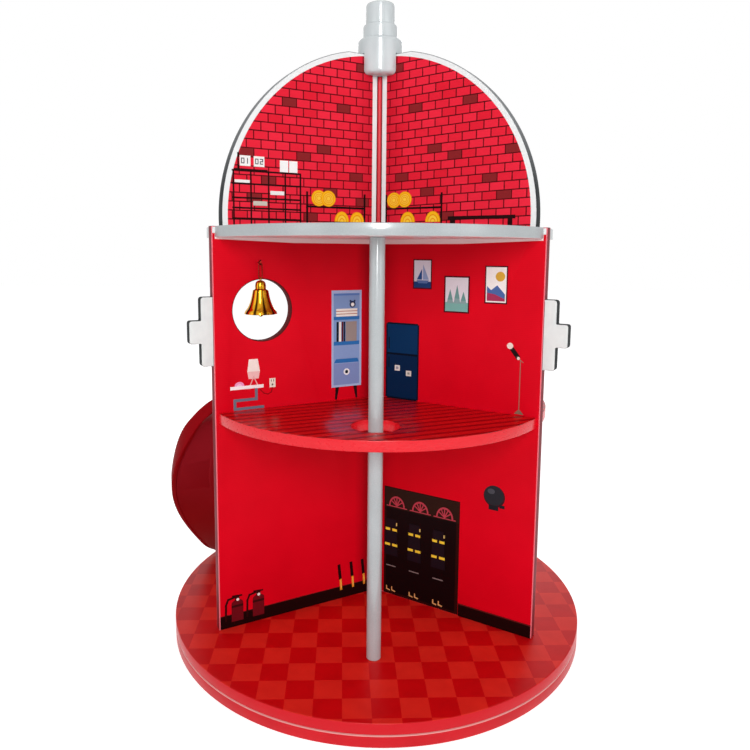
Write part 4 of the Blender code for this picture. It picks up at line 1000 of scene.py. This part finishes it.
def left_ground_room():
    """A dark skirting board, two extinguishers, and three torches on the wall."""
    wall = boxes(("#1A0404", 5.4, 0.6, 165.2, 12.6), ("#5A1A18", 5.4, 12.6, 165.2, 13.3))
    for r in (128.6, 149.0):
        wall += inked("#6A0E18", box(r - 5.6, 5.6, r + 5.6, 22.6), half_oval(r, 22.6, 11.2, 8.0, 16))
        wall += inked("#3A0A0C", box(r - 5.6, 19.2, r + 5.6, 21.4), box(r - 2.0, 25.6, r + 2.0, 29.6))
        wall += line("#2A0608", 1.4, (r - 4.0, 29.8), (r + 4.2, 30.4))
        wall += line("#2A0608", 1.8, (r + 3.0, 29.0), (r + 8.6, 28.0), (r + 10.8, 23.0), (r + 11.0, 8.0))
        wall += inked("#F2E4E0", oval(r - 0.4, 26.4, 2.8, count=12))
    for r in (16.8, 29.6, 43.0):
        wall += line("#220406", 3.0, (r + 1.4, 35.0), (r, 22.0))
        wall += line("#E8962A", 2.2, (r - 0.4, 20.0), (r - 1.0, 10.4))
        wall += line("#FFC860", 0.7, (r - 0.6, 19.0), (r - 1.1, 12.0))
    return [wall]


def right_ground_room():
    """A dark locker with three bays, a skirting board, and a round black lamp on the wall."""
    red, dark = "#B8404E", "#2C1710"
    locker = boxes(
        ("#2A0A08", 12.8, 0.8, 94.4, 113.4), ("#120304", 15.0, 3.0, 91.0, 92.0),
        (dark, 13.6, 92.0, 93.6, 112.4),
    )
    for r in (27.0, 53.0, 79.0):
        # A half-round fan over each bay
        locker += inked(red, half_oval(r, 94.2, 17.6, 21.0)) + inked(dark, half_oval(r, 94.2, 14.6, 17.4))
        for spread in (35, 62, 90, 118, 145):
            tip = [r, 94.4] + [7.0, 8.4] * direction(math.radians(spread))
            locker += line(red, 1.1, (r, 94.8), tip)
        locker += line(red, 0.9, (r - 11.0, 93.8), (r + 11.0, 93.8))
        # A dark coat with two yellow bands, a pale shelf line and a pair of boots
        coat = r - 6.0
        cut = [(coat - 7.5, 42.0), (coat + 7.5, 42.0), (coat + 5.6, 80.0), (coat - 5.6, 80.0)]
        locker += inked("#1B0E16", cut)
        for z, wide in ((68.0, 6.4), (52.0, 7.0)):
            bands = box(coat - wide, z, coat - 1.2, z + 2.6), box(coat + 1.2, z, coat + wide, z + 2.6)
            locker += inked("#F2D23C", *bands)
        locker += boxes(("#D8C070", coat + 5.4, 74.0, coat + 6.6, 77.0))
        locker += line("#8A7A78", 0.8, (coat - 5.0, 31.0), (coat + 5.0, 31.0))
        for toe in (-4.6, 1.4):
            locker += line("#E0A668", 1.0, (coat + toe, 8.4), (coat + toe, 5.2), (coat + toe + 3.4, 4.6))
    skirting = boxes(("#1A0404", 95.0, 0.6, 165.2, 12.0), ("#5A1A18", 95.0, 12.0, 165.2, 12.8))
    lamp = inked("#3A1A22", oval(127.4, 125.6, 20.4)) + inked("#2A2A30", oval(127.0, 126.4, 18.6))
    lamp += inked("#4A4C54", oval(124.4, 130.0, 7.0, 5.0))
    lamp += boxes(("#1C1C22", 122.4, 112.6, 131.6, 117.0), ("#1C1C22", 132.6, 115.6, 137.4, 118.6))
    return [locker + skirting, lamp]


HOSE, HOSE_SHADE, HOSE_LIGHT = "#FFC01C", "#F0960A", "#FFD040"


def coil(r, z, size=14.4):
    """A coil of yellow hose seen from the front, with its turns and an open middle."""
    rings = inked(HOSE_SHADE, oval(r, z, size * 1.02)) + inked(HOSE, oval(r, z, size * 0.96))
    for share in (0.78, 0.56, 0.34):
        rings += inked(HOSE_SHADE, oval(r, z, size * share))
        rings += inked(HOSE_LIGHT, oval(r, z, size * (share - 0.09)))
    return rings


def half_coil(r, size):
    """The upper part of a coil that stands behind the floor's edge."""
    foot, tall = 373.6, size * 1.3
    rings = inked(HOSE_SHADE, half_oval(r, foot, size * 1.02, tall))
    turns = ((0.94, HOSE), (0.7, HOSE_SHADE), (0.6, HOSE_LIGHT), (0.36, HOSE_SHADE), (0.26, HOSE_LIGHT))
    for share, colour in turns:
        rings += inked(colour, half_oval(r, foot, size * share, tall * share))
    return rings


DARK_BRICKS = (
    (13, 1), (8, 2), (8, 6), (3, 4), (2, 5), (2, 9), (0, 1), (-1, 8), (-2, 3), (-3, 9), (-3, 1), (-5, 5),
)


def dark_bricks(tilt):
    """Brown bricks among the red, each named by its course and its place along it.

    Each leaves the joints free, starts on the print and above the floor, and ends at the print's arc.
    """
    joint, limit = 0.4, PRINT_RADIUS - 0.2
    shapes = []
    for course, place in DARK_BRICKS:
        start = BRICK_START + BRICK_LENGTH * (place - (0.5 if course % 2 else 0))
        bottom = COURSE_START + BRICK_HEIGHT * course
        left, low = max(start, PRINT_START + 0.1) + joint, max(bottom, SHOULDER + 0.6) + joint
        shape = box(left, low, start + BRICK_LENGTH - joint, bottom + BRICK_HEIGHT - joint)
        shape = [(r, z + tilt * (r - 20)) for r, z in shape]
        (_, low_z), (right, high_z) = shape[1:3]
        if math.hypot(right, high_z - PRINT_CENTRE) > limit:
            edges = [math.sqrt(limit**2 - (z - PRINT_CENTRE) ** 2) for z in (low_z, high_z)]
            shape[1:3] = (min(edges[0], right), low_z), (edges[1], high_z)
        shapes += inked("#8A2226", shape)
    return shapes


def dome_rack(inner, outer):
    """A black rack with a shelf, of which the floor hides the foot."""
    bars = [line("#160204", 1.7, (r, 368.2), (r, 399.0)) for r in (inner, outer)]
    return sum(bars, []) + line("#160204", 1.7, (inner, 386.6), (outer, 386.6))


FIGURES = {
    "0": ((0, 0), (2.2, 0), (2.2, 4), (0, 4), (0, 0)),
    "1": ((1.1, 0), (1.1, 4)),
    "2": ((2.2, 0), (0, 0), (0, 2), (2.2, 2), (2.2, 4), (0, 4)),
}


def figures(number, r, z):
    """Plain figures on the left wall, on which r runs to the reader's left."""
    shapes = []
    for k, figure in enumerate(number):
        shapes += line("#3C3A44", 0.75, *[(r - 4.2 * k - x, z + y) for x, y in FIGURES[figure]])
    return shapes


def left_dome_room():
    """Brown bricks, a black pigeonhole rack with number cards and boxes, and a rack of hose coils."""
    rack = []
    for r in (146.0, 130.4, 114.2, 98.6, 84.0):
        rack += line("#200406", 1.4, (r, 368.2), (r, 414.0))
    for z in (414.6, 403.6, 391.6, 383.0, 374.0):
        rack += line("#200406", 1.4, (84.0, z), (146.6, z))
    rack += line("#200406", 1.8, (116.0, 415.4), (144.6, 415.4))
    rack += line("#200406", 1.4, (141.6, 415.4), (141.6, 429.0))
    for r, number in ((135.4, "01"), (122.8, "02")):
        rack += boxes(("#F8F4F2", r - 4.8, 418.6, r + 4.8, 427.4)) + figures(number, r + 3.2, 421.0)
    rack += boxes(
        ("#FBFBFA", 87.0, 415.4, 94.8, 425.4), ("#FBFBFA", 95.8, 415.4, 103.6, 425.4),
        ("#F4F0EE", 131.6, 404.4, 145.0, 406.8), ("#F4F0EE", 99.8, 395.2, 112.8, 398.6),
        ("#CFC8BC", 115.8, 385.4, 128.6, 389.2),
    )
    hoses = dome_rack(18.4, 77.6) + coil(66.0, 394.2) + coil(56.4, 394.2)
    hoses += half_coil(42.6, 14.6) + half_coil(26.6, 14.6)
    return [dark_bricks(BRICK_TILT["left"]) + rack + hoses]


def right_dome_room():
    """Brown bricks, a rack of hose coils and a low dark bench."""
    hoses = dome_rack(11.2, 68.8) + coil(19.4, 394.4) + coil(31.0, 394.8)
    hoses += half_coil(34.4, 15.0) + half_coil(60.4, 15.0)
    bench = line("#220608", 3.0, (77.0, 376.6), (136.6, 376.6))
    bench += boxes(("#220608", 77.6, 368.2, 82.6, 376.0), ("#220608", 131.6, 368.2, 135.6, 376.0))
    return [dark_bricks(BRICK_TILT["right"]) + hoses + bench]


def make_prints(ink):
    """Each furnished room's print on its wall."""
    for name, side, room in (
        ("left_middle_room_print", "left", left_middle_room),
        ("right_middle_room_print", "right", right_middle_room),
        ("left_ground_room_print", "left", left_ground_room),
        ("right_ground_room_print", "right", right_ground_room),
        ("left_dome_room_print", "left", left_dome_room),
        ("right_dome_room_print", "right", right_dome_room),
    ):
        make_print(name, side, room(), ink)


# Stage, lamps and camera


def seen_directly(tree):
    """One for rays from the camera and for those that gloss or glass sends on, and zero for light."""
    path = add(tree, "ShaderNodeLightPath").socket.node
    kinds = ("Is Camera Ray", "Is Glossy Ray", "Is Transmission Ray")
    camera, gloss, glass = (Value(tree, path.outputs[kind]) for kind in kinds)
    return camera.math("MAXIMUM", gloss).math("MAXIMUM", glass)


def make_stage():
    """A pale floor that the camera sees as white except in the object's own shadow."""
    far, below = 6000.0, -0.4
    corners = [(-far, -far, below), (far, -far, below), (far, far, below), (-far, far, below)]
    floor = mesh_object("floor", corners, [[0, 1, 2, 3]])
    finish = Finish("Pale paper floor", Roughness=0.9, Specular_IOR_Level=0.1)
    finish.shader.inputs["Base Color"].default_value = linear("#E8E8E8")
    finish.shader.inputs["Emission Color"].default_value = linear("#FFFFFF")
    glow = seen_directly(finish.tree) * FLOOR_GLOW
    finish.tree.links.new(glow.socket, finish.shader.inputs["Emission Strength"])
    floor.data.materials.append(finish.material)


def make_world():
    """A dim even studio for light, which the camera, metal and glass see as white paper."""
    world = bpy.data.worlds.new("Studio")
    bpy.context.scene.world = world
    world.use_nodes = True
    background = world.node_tree.nodes["Background"]
    background.inputs["Color"].default_value = linear("#FFFFFF")
    strength = seen_directly(world.node_tree).spread(WORLD_LIGHT, 1.0)
    world.node_tree.links.new(strength.socket, background.inputs["Strength"])


def make_lamps():
    """Area lamps, each turned to its aim."""
    for name, place, aim, width, height, power in LAMPS:
        light = bpy.data.lights.new(name, "AREA")
        light.shape, light.size, light.size_y, light.energy = "RECTANGLE", width, height, power
        lamp = bpy.data.objects.new(name, light)
        bpy.context.scene.collection.objects.link(lamp)
        lamp.location = place
        lamp.rotation_euler = (Vector(aim) - Vector(place)).to_track_quat("-Z", "Y").to_euler()


def make_camera():
    """A camera at the photograph's place, 645 mm from the axis and 345 mm above the deck's top.

    It looks down by 7 degrees. The focal length and the principal point are in pixels of a square picture.
    """
    width, focal, principal = 750, 654.88, (359.33, 332.73)
    pitch, roll, yaw = math.radians(6.965), math.radians(0.351), math.radians(1.979)
    turn = Matrix.Rotation(yaw, 4, "Z")
    aim = turn @ Matrix.Rotation(math.pi / 2 - pitch, 4, "X") @ Matrix.Rotation(roll, 4, "Z")
    data = bpy.data.cameras.new("camera")
    data.sensor_width, data.lens = 36.0, 36.0 * focal / width
    data.shift_x, data.shift_y = (width / 2 - principal[0]) / width, (principal[1] - width / 2) / width
    data.clip_start, data.clip_end = 0.01, 50
    camera = bpy.data.objects.new("camera", data)
    bpy.context.scene.collection.objects.link(camera)
    place = turn @ Vector((-0.01807, -0.64477, 0.345 + DECK_TOP * MM))
    camera.matrix_world = Matrix.Translation(place) @ aim
    bpy.context.scene.camera = camera


def dress(material, *names):
    """Gives CAD nodes a finished material."""
    for name in names:
        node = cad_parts[name]
        node.data.materials.clear()
        node.data.materials.append(material)


def main():
    bpy.context.scene.view_settings.view_transform = "Standard"
    silver = silver_paint("Silver lacquer on nut", "#CED4D6", "#C2C8CA")
    # The pole's and the floor boards' silver is the nut's paint in darker tones, painted shade
    shaded_pole_silver = silver_paint("Silver lacquer on pole", "#B2B8BA", "#A8AEB0")
    underside = UPPER_BOTTOM + DECK_TOP
    shaded_floor_silver = silver_paint("Silver lacquer on floor board", "#B0B6B8", "#A4AAAD", underside)
    # The pale line along the foot's top edge is a painted highlight
    foot_red = lacquer("Red lacquer on foot board", "#D81C28", "#CC1622", BOARD - 0.4)
    post_red = lacquer("Red lacquer on post", "#D42030", "#C41826")
    steel = metal_material("Zinc-plated steel", "#C4C8CC", "#AEB2B6", 0.28)
    nickel = metal_material("Nickel-plated steel", "#B8B0A0", "#8E8678", 0.16)
    # Dark metal whose red tint is a painted reflection of the red wall beside it
    red_tinted_steel = metal_material("Dark steel with painted red reflection", "#8A2A20", "#5A120C", 0.3)

    make_discs(deck_material(), foot_red)
    make_walls()
    make_floors(plank_material(), shaded_floor_silver)
    make_outlets()
    make_nut(silver)
    make_pole(shaded_pole_silver)
    make_slide(plastic_material())
    make_bell(brass_material())
    make_clapper(nickel)
    make_prints(ink_material())
    hardware = [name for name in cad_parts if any(word in name for word in ("race", "cage", "screw"))]
    hardware.remove("bell_screw_eye")
    dress(steel, *hardware)
    dress(red_tinted_steel, "bell_screw_eye", "bell_link")
    dress(post_red, "centre_post")
    dress(beech_material(), "left_outlet_dowel", "right_outlet_dowel", "back_outlet_dowel")
    make_stage()
    make_world()
    make_lamps()
    make_camera()


main()
